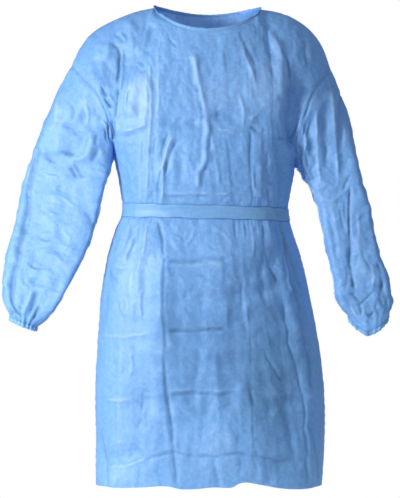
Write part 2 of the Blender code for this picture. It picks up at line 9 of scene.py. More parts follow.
import bmesh
import bpy
import numpy as np
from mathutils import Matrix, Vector


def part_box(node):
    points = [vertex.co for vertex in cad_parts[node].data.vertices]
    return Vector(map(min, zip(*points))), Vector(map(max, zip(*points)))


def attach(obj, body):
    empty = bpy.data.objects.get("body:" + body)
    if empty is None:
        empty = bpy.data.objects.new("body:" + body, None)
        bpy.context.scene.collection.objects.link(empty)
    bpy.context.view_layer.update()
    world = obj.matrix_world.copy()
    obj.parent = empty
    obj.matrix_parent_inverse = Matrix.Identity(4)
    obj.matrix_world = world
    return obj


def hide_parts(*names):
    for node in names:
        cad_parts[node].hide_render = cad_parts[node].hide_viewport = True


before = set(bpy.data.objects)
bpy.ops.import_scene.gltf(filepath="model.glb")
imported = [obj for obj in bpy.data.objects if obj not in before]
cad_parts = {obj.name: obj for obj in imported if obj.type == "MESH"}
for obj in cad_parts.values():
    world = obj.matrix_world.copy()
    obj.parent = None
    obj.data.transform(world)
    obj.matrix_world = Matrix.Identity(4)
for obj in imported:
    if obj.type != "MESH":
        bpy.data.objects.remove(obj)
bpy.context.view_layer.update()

# ---- the form

FRONT, BACK = -1, 1
OUTWARD = {"right": -1, "left": 1}
HEM_Z = -1.131
ARMPIT_Z = {"right": -0.352, "left": -0.375}
SECTION_POWER = 0.86  # 1 would make the body's sections ellipses, and less makes them squarer
NECK_ROUNDING = 0.45  # how far the body rounds off towards the neckline: 1 is a quarter of a circle
NECK_SHARE = 0.50  # the neckline's share of a panel's top edge
NECK_Y = 0.012
NECK_CUT = {
    FRONT: {"reach": 0.100, "drop": 0.061, "power": 1.3},
    BACK: {"reach": 0.066, "drop": 0.015, "power": 3.0},
}
ARMHOLE_DEPTH = {FRONT: 0.070, BACK: 0.076}
ARMHOLE_BOW, ARMHOLE_TURN = 0.7, 2.5  # how full the bulge there is, and how late the side turns in
SLEEVE_POWER = 0.92
SLEEVE_LENGTH, SLEEVE_ROUND = 0.53, 0.41  # what the sleeves' creases are measured in
ARMHOLE_FADE = 0.34  # how far down a sleeve its plain sections take over from the armhole
CUFF_FADE = 0.12  # how far above the cuff its section starts to go back to a plain oval
FLATTER = {"right": 0.70, "left": 0.60}  # how much squarer each sleeve is in front than a plain oval
FLAT_DEPTH = 0.16  # and how much less it reaches forward there
SLEEVE_TURN = {"right": 0.30, "left": -0.06}  # how far each is turned towards its inner side
CUFF_POINT = {"right": 0.0, "left": 0.022}  # how much further the middle of each cuff hangs than its sides
BACK_OVERLAP = 0.20  # how far each back panel runs past the middle, as a share of half the width
LAYER, NECK_LAYER = 0.0018, 0.0034  # how far the upper back panel lies above the lower one, and at the neck
BELT_Z, BELT_WIDTH = -0.4875, 0.030
BELT_LEAN = 4  # how soon, below the armpits, the rows stop slanting as they do
BELT_THICK, BELT_OFF = 0.0019, 0.0016  # how far the belt's middle stays off the body's form
BELT_PRESS = 0.0016  # how far the belt presses the cloth in
BELT_FOLDS = (-0.0045, 0.0050, 0.0105)  # where across it the belt has low ridges
HALF_BELT = 0.45
END_WIDTH, END_THICK = 0.026, 0.0018
END_GAP = 0.0062  # how far a hanging end of the belt stays off the back
END_FOLDS = (-0.004, 0.0045)
BELT_ENDS = {"right": {"length": 0.235, "x": -0.036}, "left": {"length": 0.205, "x": 0.030}}
BINDING_HALF, BINDING_THICK = 0.0038, 0.0018

# ---- how finely it is built

FRONT_COLUMNS, BACK_COLUMNS = 240, 104
SKIRT_ROWS, CHEST_ROWS = 255, 140
BACK_SKIRT_ROWS, BACK_CHEST_ROWS = 150, 70
SLEEVE_RINGS, SLEEVE_PLEATS = 230, 21
NECK_STEPS = {FRONT: 170, BACK: 80}
BELT_COLUMNS, BELT_END_ROWS = 150, 90
KNOT_LEVELS, KNOT_POINTS = 44, 64
CREASE_STEP = 0.008
SEED = {"front": 3, "back": 23, "right": 41, "left": 57}

# ---- its unevenness

# The height and size of each kind, how much longer than wide it is, and the step of its seed.
PANEL_SWELLS = ((0.0003, 0.030, 4, 0), (0.0008, 0.085, 3, 50))
SLEEVE_SWELLS = ((0.0004, 0.034, 3, 0), (0.0009, 0.09, 2, 50))
# The same for the crumpling, with what the way along is multiplied by in place of the length.
CRUMPLES = ((0.00058, 0.046, 0.8, 3), (0.00036, 0.022, 0.9, 4), (0.00015, 0.0115, 1.0, 6))
SKIRT_CRUMPLE, CHEST_CRUMPLE, SLEEVE_CRUMPLE = 1.15, 0.45, 1.9  # the chest's is on top of the skirt's
EDGE_FADE = 0.035  # the share of a panel beside its side edges where the unevenness dies away
HALF_PANEL = 0.22  # what a panel's half is taken to measure beside its seams
SEAM_NEAR, SEAM_FAR = 0.006, 0.018  # where the swell beside a seam is highest, and how it runs out
SEAM_RISE, SEAM_PUCKER = 0.0011, 0.00035
SEAM_LINE, SEAM_DARK = 0.0026, -0.8

# ---- its finish, with its painted light and shade

WIDEST_LINE = 0.010  # wider creases have no line along them: pale on a ridge, worn whitening with a painted highlight, and painted shade in a trough
CREASE_FADE = 0.022  # how much of each end of a crease dies away, at most a third of it
FOLD_HEIGHT = 0.006  # a fold this high has the full painted light of its kind, and one this deep the full painted shade
# Wide soft patches of painted light and painted shade on the front, paler or darker: x, z, half the width
# and height, and how much.
PAINTED_LIGHT_AND_SHADE_PATCHES = (
    (-0.159, -0.230, 0.028, 0.062, 0.9),
    (0.016, -0.218, 0.080, 0.050, 0.35),
    (-0.192, -0.620, 0.026, 0.110, 0.5),
    (-0.086, -0.760, 0.055, 0.140, -1.1),
    (0.150, -0.880, 0.070, 0.130, -1.2),
    (-0.208, -1.071, 0.042, 0.050, 0.5),
)
# Each cloth's name, its two colours, and how much light it lets through.
CLOTHS = (
    ("Nonwoven", (0.155, 0.375, 0.770, 1), (0.250, 0.495, 0.885, 1), 0.26),
    ("NonwovenBack", (0.155, 0.375, 0.770, 1), (0.250, 0.495, 0.885, 1), 0.10),
    ("NonwovenBinding", (0.165, 0.385, 0.770, 1), (0.230, 0.470, 0.850, 1), 0.20),
    # the strap's colours are the cloth's, darkened: painted shade
    ("NonwovenStrapPaintedShade", (0.122, 0.300, 0.610, 1), (0.165, 0.350, 0.660, 1), 0.0),
    ("NonwovenElastic", (0.170, 0.395, 0.780, 1), (0.215, 0.445, 0.820, 1), 0.14),
)
HUE = (0.92, 1.10, 0.90)  # the greener fibres, as a share of the colour
WORN_AND_PAINTED_LIGHT = (0.62, 0.80, 1.0, 1)  # painted light on raised cloth and in the paler patches, with worn whitening along sharp ridges
SHEEN = (0.75, 0.88, 1.0, 1.0)

# ---- the studio's sizes

AMBIENT = 0.27
LAMPS = (
    ("Key", (-2.00, -1.54, -0.06), (0.0, 0.0, -0.5), 0.7, 77.0, (1.0, 0.99, 0.97)),
    ("Fill", (1.5, -2.2, 1.4), (0.0, 0.0, -0.4), 1.0, 15.0, (0.93, 0.97, 1.0)),
    ("Low", (-2.2, -1.2, -1.2), (0.0, 0.0, -0.9), 0.9, 7.0, (1.0, 1.0, 1.0)),
    ("Back", (0.0, 3.1, -0.3), (0.0, 0.0, -0.45), 1.3, 100.0, (0.92, 1.0, 1.0)),
    ("Top", (0.1, -1.1, 1.5), (0.0, 0.1, -0.03), 0.4, 2.5, (1.0, 1.0, 1.0)),
)
CAMERA_PLACE, CAMERA_LENS, SENSOR = (-0.0189, -6.0, -0.5735), 183.8, 36.0
FLOOR_Z, FLOOR_RADIUS, FLOOR_SIDES = -1.43, 1.9, 96

# ---- the pieces: each one's node, slot, flat size, how it is held, what it rests on, and its flat area

BACKS_AND_FRONT = ["cloth_front", "cloth_back_right", "cloth_back_left"]
PIECES = {
    "cloth_front": ("front", "nonwoven", (0.69, 1.16), "hung", ["belt_strap"], 0.665),
    "cloth_back_right": ("back_right", "nonwoven", (0.42, 1.16), "hung", ["belt_strap"], 0.425),
    "cloth_back_left": ("back_left", "nonwoven", (0.42, 1.16), "hung", ["belt_strap"], 0.425),
    "cloth_sleeve_right": (
        "sleeve_right", "nonwoven", (0.42, 0.56), "hung", ["cloth_front", "cloth_back_right"], 0.23,
    ),
    "elastic_cuff_right": (
        "cuff_right", "elastic_cuff", (0.27, 0.024), "gathered", ["cloth_sleeve_right"], None,
    ),
    "cloth_sleeve_left": (
        "sleeve_left", "nonwoven", (0.42, 0.56), "hung", ["cloth_front", "cloth_back_left"], 0.21,
    ),
    "elastic_cuff_left": (
        "cuff_left", "elastic_cuff", (0.27, 0.024), "gathered", ["cloth_sleeve_left"], None,
    ),
    "neck_trim": ("neck_binding", "binding", (0.75, 0.010), "stretched", BACKS_AND_FRONT, None),
    "belt_strap": ("belt", "strap", (1.00, BELT_WIDTH), "stretched", ["cloth_front"], None),
    "knot": ("belt_knot", "strap", None, None, None, None),
    "strap_end_right": (
        "belt_end_right", "strap", (END_WIDTH, BELT_ENDS["right"]["length"]), "hung", ["knot"], None,
    ),
    "strap_end_left": (
        "belt_end_left", "strap", (END_WIDTH, BELT_ENDS["left"]["length"]), "hung", ["knot"], None,
    ),
}


# ---- the tables

def rows_of(text):
    """The lines of a table, split into words, also at their commas."""
    return [line.replace(",", " ").split() for line in text.strip().splitlines()]


def table(names, text):
    """A table as one array for each named column."""
    return dict(zip(names.split(), np.array(rows_of(text), float).T))


def creases(text):
    """Creases, one on a line: its profile, its width and height in mm, and the places on its path."""
    return [
        (float(width), float(height), kind, np.array(path, float).reshape(-1, 2))
        for kind, width, height, *path in rows_of(text)
    ]


# The body below the armpits: its two sides, and how far it reaches forward and back.
BODY = table("z right left front back", """
-1.145 -0.263 0.267 0.143 0.139
-1.005 -0.263 0.275 0.143 0.138
-0.92 -0.264 0.274 0.142 0.137
-0.779 -0.257 0.257 0.139 0.134
-0.666 -0.248 0.236 0.134 0.129
-0.581 -0.234 0.215 0.127 0.121
-0.522 -0.215 0.196 0.117 0.106
-0.487 -0.2 0.188 0.109 0.095
-0.452 -0.203 0.192 0.119 0.104
-0.411 -0.21 0.2 0.128 0.112
-0.345 -0.224 0.209 0.131 0.116
""")

# The shoulder ridge, from the neckline out to the top of the armhole.
RIDGE = {
    "right": table("share x z", """
0 -0.126 -0.003
0.2 -0.17 -0.013
0.4 -0.222 -0.033
0.6 -0.271 -0.061
0.8 -0.302 -0.099
1 -0.323 -0.144
"""),
    "left": table("share x z", """
0 0.1235 -0.007
0.2 0.163 -0.014
0.4 0.21 -0.033
0.6 0.2454 -0.061
0.8 0.2714 -0.099
1 0.29 -0.151
"""),
}

# A sleeve's sections, from the armhole to the cuff: where the middle is, how wide and deep, by how many
# degrees the section slants down towards the body, and by how many it tips down at the front.
SLEEVE = {
    "right": table("share x y z wide deep slant tip", """
0 -0.2735 0.003 -0.248 0.115 0.07 65 0
0.14 -0.303 0.002 -0.3145 0.098 0.061 42 0
0.28 -0.327 0 -0.383 0.093 0.05 20 0
0.42 -0.346 -0.006 -0.454 0.096 0.044 18 0
0.58 -0.367 -0.014 -0.539 0.091 0.043 18 0
0.75 -0.398 -0.024 -0.621 0.082 0.043 19 0
0.86 -0.4145 -0.03 -0.676 0.071 0.041 20 0
0.94 -0.4275 -0.034 -0.716 0.055 0.036 21 4
1 -0.432 -0.036 -0.742 0.0345 0.026 22 8
"""),
    "left": table("share x y z wide deep slant tip", """
0 0.2483 0.003 -0.263 0.119 0.07 69 0
0.14 0.275 0.002 -0.327 0.092 0.068 53 0
0.27 0.2922 0 -0.389 0.066 0.066 31 0
0.4 0.3128 -0.006 -0.455 0.0592 0.064 18 0
0.52 0.3265 -0.014 -0.517 0.06 0.063 15 0
0.66 0.3415 -0.022 -0.592 0.059 0.061 13 0
0.76 0.356 -0.028 -0.637 0.063 0.058 12 0
0.86 0.364 -0.034 -0.684 0.065 0.053 10 4
0.94 0.373 -0.038 -0.72 0.059 0.045 7 18
1 0.376 -0.04 -0.744 0.0475 0.034 4 42
"""),
}

# Where the hem hangs, in mm: it is cut unevenly, with a notch left of the middle of the front.
HEM_LINE = {
    FRONT: table("x z", """
-290 -1131
-256 -1128
-238 -1127
-224 -1128
-157 -1125
-88 -1122
-65 -1127
-30 -1127
16 -1123
40 -1124
60 -1121
67 -1116
72 -1114
120 -1118
166 -1127
212 -1131
240 -1131
254 -1129
290 -1131
"""),
    BACK: table("x z", """
-290 -1131
-200 -1129
-120 -1125
-40 -1124
60 -1126
150 -1129
290 -1131
"""),
}

# A cuff's section: how far along past the sleeve, and how far out from it.
CUFF_SECTION = (
    (0.0, 0.0), (0.0015, 0.0009), (0.0035, 0.0014), (0.006, 0.0015), (0.0085, 0.0012), (0.0102, 0.0005),
    (0.0110, -0.0004), (0.0106, -0.0014), (0.0088, -0.0020), (0.0060, -0.0023), (0.0030, -0.0022),
    (0.0005, -0.0019),
)

# The pleats that the belt draws up: where (u), width (u), height, and how far they run up and down, in m.
BELT_PLEATS = {
    FRONT: np.array(rows_of("""
-0.8 0.02 0.0022 0.05 0.03
-0.7 0.016 -0.0018 0.03 0.05
-0.62 0.018 0.002 0.06 0.04
-0.55 0.014 -0.002 0.03 0.06
-0.47 0.02 0.0026 0.04 0.07
-0.385 0.012 -0.0022 0.05 0.05
-0.31 0.012 0.0018 0.04 0.02
-0.22 0.015 -0.0012 0.02 0.03
-0.1 0.014 0.001 0.02 0.03
0.06 0.016 -0.0007 0.03 0.02
0.17 0.012 0.0011 0.02 0.04
0.235 0.01 -0.0015 0.03 0.06
0.285 0.009 0.0014 0.03 0.05
0.335 0.009 -0.0014 0.05 0.04
0.38 0.009 0.0014 0.04 0.06
0.43 0.01 -0.0016 0.06 0.05
0.485 0.011 0.0017 0.05 0.06
0.54 0.01 -0.0016 0.04 0.05
0.6 0.012 0.0016 0.06 0.05
0.67 0.012 -0.0016 0.05 0.06
0.74 0.014 0.0016 0.05 0.05
0.82 0.016 -0.0015 0.04 0.05
"""), float),
    BACK: np.array(rows_of("""
-0.8 0.02 0.0024 0.05 0.04
-0.71 0.016 -0.0024 0.06 0.05
-0.63 0.015 0.0024 0.04 0.06
-0.55 0.014 -0.0026 0.05 0.04
-0.47 0.014 0.0028 0.07 0.06
-0.4 0.012 -0.0024 0.04 0.07
-0.33 0.012 0.0024 0.05 0.05
-0.26 0.012 -0.0022 0.06 0.04
-0.17 0.014 0.0018 0.04 0.05
-0.06 0.012 -0.0012 0.03 0.03
0.05 0.012 0.0012 0.03 0.04
0.16 0.012 -0.0018 0.05 0.04
0.25 0.012 0.0024 0.04 0.06
0.33 0.013 -0.0026 0.06 0.05
0.41 0.013 0.0026 0.05 0.07
0.5 0.014 -0.0026 0.04 0.05
0.58 0.014 0.0024 0.06 0.05
0.67 0.015 -0.0024 0.05 0.06
0.77 0.018 0.0022 0.05 0.04
0.86 0.018 -0.002 0.04 0.04
"""), float),
}

# A crease is round ("r") or sharp ("s"). On a panel its path is x,z in mm, and on a sleeve it is in
# thousandths of the way round, from the armpit side by way of the front, and along.
FRONT_CREASES = creases("""
r 7 5.6 -35,-107 -28,-154 -22,-191 -12,-229 -3,-269 0,-296 -5,-331 -6,-368 -19,-395 -21,-439
s 4 -5 -28,-182 -19,-224 -12,-252 -8,-284
s 4 -3 4,-299 2,-336 -3,-373 -12,-414
r 16 6.5 -156,-148 -166,-185 -175,-227 -179,-274
s 4 3 -173,-148 -179,-185 -189,-222 -193,-268
r 7 3 -147,-242 -149,-269 -144,-293
r 11 -8 -131,-37 -138,-82 -149,-129
r 12 4 -189,-30 -178,-80 -173,-119
s 4 3 -171,-80 -162,-66 -148,-54
s 4 -1.6 -166,-134 -152,-151
s 4 -6 -234,-86 -217,-96 -208,-118 -210,-147 -215,-189
s 4 4 -201,-113 -203,-180 -210,-238 -212,-314
s 4 -4.6 -215,-314 -191,-308 -163,-298 -132,-289
s 4 2.6 -207,-298 -181,-295 -153,-286 -132,-277
r 10 -4.2 -116,-284 -69,-279 -14,-285
r 11 -5.4 5,-273 41,-264 73,-280
s 4 2.6 13,-296 55,-299 83,-296
s 4 2.8 65,-210 76,-228 83,-256 83,-291
s 5 -3.1 70,-66 90,-106 111,-153
s 5.5 3.3 74,-97 90,-137 107,-181 111,-205
s 4 -6 170,-102 182,-133 189,-161 193,-189
s 4 -3.6 228,-78 229,-112 234,-155
s 4 3.2 210,-165 226,-174
s 4 3 212,-174 212,-217
r 26 -9 201,-132 203,-193 205,-273
r 10 3 140,-51 154,-85 165,-114
r 10 -10 193,-189 198,-222 195,-264 198,-305 203,-347
r 14 4.5 149,-76 165,-114 170,-166 169,-228
s 4 2.9 -135,-138 -133,-214 -134,-293 -139,-379 -142,-465
s 4 -1.8 -119,-303 -125,-379 -128,-460
s 4 4.6 -77,-305 -93,-335 -102,-373 -104,-414 -107,-467
s 4 3 -97,-368 -112,-393 -121,-423
s 4 -4 -70,-317 -84,-342 -95,-372 -98,-409
s 4 -3.6 -88,-300 -100,-326 -111,-368
s 4 -3.6 -116,-404 -117,-437 -112,-469
s 4 -2.4 99,-293 97,-377 106,-464
r 8 2.6 120,-308 123,-460
s 4 -2.4 139,-339 140,-465
r 9 -4.5 160,-315 170,-385 170,-464
s 4 2.4 -107,-444 -42,-444 16,-444 64,-448
s 4 -2.6 -102,-453 -30,-453 18,-455
s 3 -2.2 25,-465 37,-455 49,-453
s 3 -4 -219,-67 -207,-79 -199,-92
s 3 -4 -207,-62 -197,-72 -187,-87
s 3 3 -211,-59 -200,-75 -192,-89
s 3 -3.2 -166,-128 -156,-138 -147,-150
s 3 3 -168,-136 -159,-147 -152,-157
s 3 2.6 -146,-153 -140,-182 -133,-210
r 14 4 -249,-83 -255,-107 -258,-136
s 4 -2 -94,-80 -79,-95 -70,-107
s 4 -1.7 -49,-187 -39,-210 -25,-215
r 10 -3 -192,-94 -196,-147 -191,-190
s 4 -1.7 37,-97 43,-139 41,-182
s 4 1.7 -112,-73 -117,-130 -114,-191 -116,-270
s 4 1.5 11,-303 18,-368 25,-437
s 4 -1.7 41,-308 53,-377 58,-437
r 9 -2.6 -172,-315 -177,-378 -170,-464
s 4 1.7 -158,-311 -158,-390 -156,-464
r 10 -3 -203,-324 -196,-394 -185,-463
s 4 3.2 95,-275 106,-268 120,-267
s 4 -4 160,-314 172,-316 184,-322
s 4 2.4 99,-381 106,-423 118,-457
s 4 2.4 141,-367 139,-404 141,-446
s 4 -5 95,-289 106,-296 118,-307
r 10 -2.4 -74,-312 -65,-382 -62,-437
s 4 -5 -154,-511 -165,-544 -179,-576 -189,-608
r 12 4 -135,-520 -146,-571 -162,-631 -172,-687 -179,-752
s 4 2 -225,-613 -196,-617 -172,-611
s 4 -1.8 -222,-623 -181,-622
s 4 -2.2 -220,-580 -229,-632 -224,-665 -207,-678
s 4 -1.5 -234,-674 -238,-754
s 4 -5.5 -116,-502 -109,-539 -105,-576 -100,-603
s 18 4 -109,-604 -107,-687 -109,-765
s 3 -2.2 -112,-587 -95,-606
s 3 -2 -104,-608 -93,-597 -81,-590
s 3 1.6 -99,-618 -88,-604
s 4 -4.6 -93,-603 -30,-601 4,-597 55,-599
s 3 2.4 -86,-613 -19,-610 48,-606
s 4 -4.6 -98,-763 -42,-763 13,-760 55,-760
s 3 2.4 -88,-769 -19,-769 50,-767
s 4 2 -251,-777 -191,-776 -132,-770
s 3 -2.2 87,-733 90,-761 92,-783
s 3 2 94,-753 117,-756
s 4 -2.6 58,-501 62,-525 64,-553
s 4 -1.8 86,-506 90,-558
s 4 1.8 102,-511 106,-562 102,-599
s 4 -2 128,-511 132,-562 144,-604
r 10 -7 156,-506 165,-536 179,-576
s 4 -4.2 168,-503 182,-553 193,-604 205,-653 219,-715 230,-786 242,-846 249,-907
r 11 4.2 170,-580 179,-638 193,-681 207,-738 218,-797
s 4 -2.8 181,-683 190,-749 200,-808 213,-850 223,-887 230,-924 232,-994 233,-1127
s 4 2.2 88,-636 88,-691 97,-749
s 4 -1.6 81,-645 80,-719
s 14 3 41,-654 44,-756
r 9 -3 125,-608 129,-654 134,-714
s 4 -1.6 -56,-691 -46,-677
s 4 1.6 -19,-684 4,-689 22,-684
s 4 1.6 41,-654 55,-650 69,-657
s 4 -1.6 11,-631 36,-622 53,-622
s 4 -1.4 -17,-695 -15,-718
s 4 1.4 -56,-548 -45,-530
s 4 1.2 -86,-552 -70,-566
s 3 -2.2 -89,-534 -65,-544 -51,-562
s 3 2 -28,-520 -37,-548 -55,-567
s 3 -2 -10,-553 9,-571 37,-576
s 3 2 5,-516 32,-534 55,-562
s 3 2 -74,-622 -60,-645 -51,-673
s 3 -2 -38,-626 -9,-636 18,-655
s 3 2.2 -5,-645 14,-664 41,-668
s 3 -2.2 22,-682 36,-701 64,-710
s 3 2 -70,-705 -51,-719 -42,-742
s 3 2 -28,-792 -15,-811 -10,-834
s 3 -2 -51,-820 -33,-839 -24,-862
s 3 2.2 13,-783 -1,-811 -5,-843
s 3 2 -65,-940 -42,-954 -28,-977
s 3 -2 9,-931 18,-958 14,-990
s 3 2 41,-949 59,-967 64,-999
s 3 -2.2 -206,-529 -215,-562 -220,-590
s 3 2 -154,-580 -158,-613 -172,-640
s 3 2 -209,-693 -200,-719 -205,-748
s 3 -2 -158,-691 -149,-719 -153,-747
s 3 -2 -224,-822 -214,-850 -219,-878
s 3 2 -186,-808 -176,-840 -186,-877
s 3 -2 -139,-932 -144,-969 -134,-1006
s 5 -4.2 -102,-811 -99,-857 -93,-922 -84,-986 -79,-1042 -72,-1124
s 4 3.4 -95,-901 -53,-897 -8,-901 46,-898 92,-901
s 4 -3.6 -90,-910 -19,-908 64,-910
s 4 -3 99,-896 138,-899
s 4 1.8 124,-909 213,-910 262,-919
s 4 4 -250,-924 -209,-924 -172,-921
s 4 1.6 -153,-913 -125,-913
s 30 4.5 95,-645 97,-871 99,-1014 99,-1120
r 56 10 154,-114 156,-200 155,-279
r 86 -18 92,-576 92,-761 92,-940
r 40 -9 -262,-174 -200,-147 -135,-134
r 24 -7 213,-831 218,-924 218,-1017
s 4 -1.3 99,-692 99,-784 103,-876 103,-968 105,-1042
s 4 -2.8 -100,-603 -100,-691 -99,-763 -97,-820
s 4 -2.6 94,-830 96,-880 101,-913 113,-945
s 4 -4 134,-807 152,-839 173,-870 187,-884
r 10 -3 176,-927 192,-981 201,-1035 216,-1087
s 4 3.6 -238,-1081 -195,-1077 -157,-1064 -134,-1056
r 22 -8 -263,-1066 -205,-1056 -139,-1042
s 4 -3.7 -153,-1063 -111,-1049 -79,-1044 -42,-1051 9,-1051 73,-1046 124,-1053 175,-1064 208,-1063
s 3 2 -75,-1048 -42,-1051
s 3 1.6 76,-1044 124,-1051 175,-1062
s 4 -3.1 -253,-992 -246,-1038 -240,-1084 -229,-1132
s 4 -3.1 235,-971 249,-1019 257,-1062 262,-1129
s 4 -4.5 9,-1048 15,-1075 23,-1103 30,-1128
s 5 1.8 12,-977 4,-1020 9,-1055
s 4 1.7 13,-922 37,-930 48,-921
s 4 -1.8 -5,-944 9,-928
s 4 1.5 99,-857 115,-880 134,-889
s 4 1.5 -65,-867 -51,-885
s 4 1.4 -58,-822 -42,-816
s 4 -1.7 -153,-895 -155,-946 -164,-997
s 5 1.7 -202,-785 -204,-878 -209,-993 -207,-1059
s 5 -1.5 -174,-784 -167,-854 -158,-895
r 12 2.4 -135,-783 -130,-876 -134,-1015
r 12 2.6 -42,-921 -37,-979 -42,-1036
r 14 3 50,-933 47,-991 55,-1037
s 4 -1.5 -70,-1018 -63,-1041
r 9 -2 -17,-795 -22,-847 -28,-889
s 4 1.5 32,-774 42,-811
r 18 4 -253,-1119 -200,-1114
s 4 -1.7 -158,-1070 -160,-1126
r 10 2.2 124,-1065 128,-1120
s 4 -1.7 73,-1055 76,-1115
s 4 1.7 235,-925 239,-1018 240,-1126
s 4 -2.2 -279,-144 -275,-191
s 4 -2 -293,-144 -281,-168
s 3 3.4 -236,-210 -226,-224 -217,-236
s 3 -6 -243,-219 -234,-233 -219,-247
s 3 -4.4 -250,-186 -243,-203 -233,-224
r 44 -11 144,-543 167,-645 183,-762 189,-924 190,-1122
r 40 5 32,-543 28,-691 23,-922 22,-1120
r 26 -13 205,-175 212,-236 212,-295 206,-345
s 3 -5 145,-611 155,-625 167,-645
s 3 -3.4 150,-627 162,-638 169,-655
s 3 3.4 158,-606 165,-615 176,-627
s 3 3 184,-580 191,-613 197,-655 205,-683
s 3 -3.4 182,-548 196,-585 212,-637 224,-670
s 3 -3.6 -175,-504 -184,-539 -201,-581
s 3 3.4 -161,-525 -170,-562 -182,-590
s 3 3.2 -142,-510 -144,-553 -146,-590
r 9 3.4 -158,-604 -160,-659 -160,-720
s 4 2.8 -174,-618 -179,-655 -174,-692
s 4 2.8 -151,-664 -155,-705 -150,-742
s 3 2.6 -193,-682 -188,-706 -195,-729
s 3 -2.8 -209,-693 -202,-720 -188,-738
s 3 -3 -235,-618 -224,-639 -207,-653
r 9 4.5 -230,-83 -234,-113 -239,-141
s 8 4.4 -144,-163 -142,-218 -142,-274
s 4 -3 -179,-194 -187,-231 -196,-278
s 55 11.5 -105,-543 -102,-691 -102,-876 -93,-1023
s 24 -2.6 -102,-763 -19,-762 64,-761
s 4 -5 -208,-190 -212,-236 -215,-282
r 8 -6 -226,-268 -224,-291 -224,-318
s 4 -6 -228,-289 -225,-305 -220,-321
r 62 -10 -204,-919 17,-922 242,-921
r 55 4 -186,-692 18,-696 204,-692
""")
BACK_CREASES = creases("""
r 22 6 -150,-120 -140,-260 -120,-400
r 20 6 150,-130 142,-270 124,-400
r 9 -5 -188,-110 -196,-190 -204,-290
r 9 -5 182,-120 190,-200 196,-300
s 5 3 -92,-90 -88,-210 -98,-330 -92,-455
s 5 3 84,-90 92,-210 86,-330 96,-455
s 5 -2.4 -60,-120 -52,-240 -60,-360 -56,-460
s 5 -2.4 48,-160 60,-300 54,-455
s 4 -2.4 -200,-268 -100,-272 -30,-268
s 4 -2.4 30,-270 110,-274 200,-268
s 4 1.8 -190,-262 -90,-265
s 4 1.8 60,-264 180,-262
r 9 -3.4 -30,-420 -70,-380 -120,-350
r 9 -3.4 36,-430 80,-386 130,-352
r 8 3 -150,-452 -160,-400 -176,-350
r 8 3 142,-452 150,-400 166,-350
r 14 -8 -140,-530 -165,-640 -186,-800
r 14 -8 134,-530 160,-650 182,-800
r 16 6 -150,-760 -165,-940 -176,-1131
r 16 6 154,-760 160,-930 166,-1131
s 6 -4.5 -96,-520 -104,-700 -98,-900 -112,-1131
s 6 -4.5 92,-520 96,-720 108,-940 104,-1131
s 14 4 -58,-620 -62,-800 -56,-1000
s 14 4 60,-640 56,-820 64,-1010
s 4.5 -2.8 -220,-602 -140,-606 -40,-604
s 4.5 -2.8 44,-606 130,-602 210,-605
s 8 -3.6 -232,-765 -120,-770 -20,-766
s 8 -3.6 20,-770 120,-764 222,-768
s 4 2.4 -236,-905 -120,-908 -30,-906
s 4.5 -2.8 -240,-914 -120,-917 -30,-914
s 4 2.4 30,-908 120,-904 232,-906
s 4.5 -2.8 30,-916 120,-913 232,-915
s 9 -3.6 -244,-1056 -150,-1064 -60,-1052 20,-1056 130,-1050 236,-1062
s 6 -4 -206,-880 -214,-980 -210,-1131
s 6 -4 204,-860 214,-980 216,-1131
s 5 -2.4 -30,-540 -26,-700 -34,-820
s 5 2.2 24,-860 30,-1000 22,-1125
s 4 -2 -80,-640 -60,-668 -50,-700
s 4 -2 130,-690 150,-730 156,-770
""")
SLEEVE_BACK_CREASES = creases("""
r 20 6 720,200 735,450 745,700
r 9 -5 620,180 600,400 604,640
s 5 -4.5 660,150 650,380 662,620 655,840
s 5 3 560,160 566,420 556,700
r 9 -6 740,40 736,110 700,160
s 4 2.4 580,320 630,335 690,322
s 4 -2.4 570,540 640,552 720,545
s 5 -4.5 610,850 605,920 600,990
s 5 -4 700,840 704,910 700,985
s 4 -2.4 640,800 660,840 668,880
r 8 3.2 540,720 570,760 600,780
""")
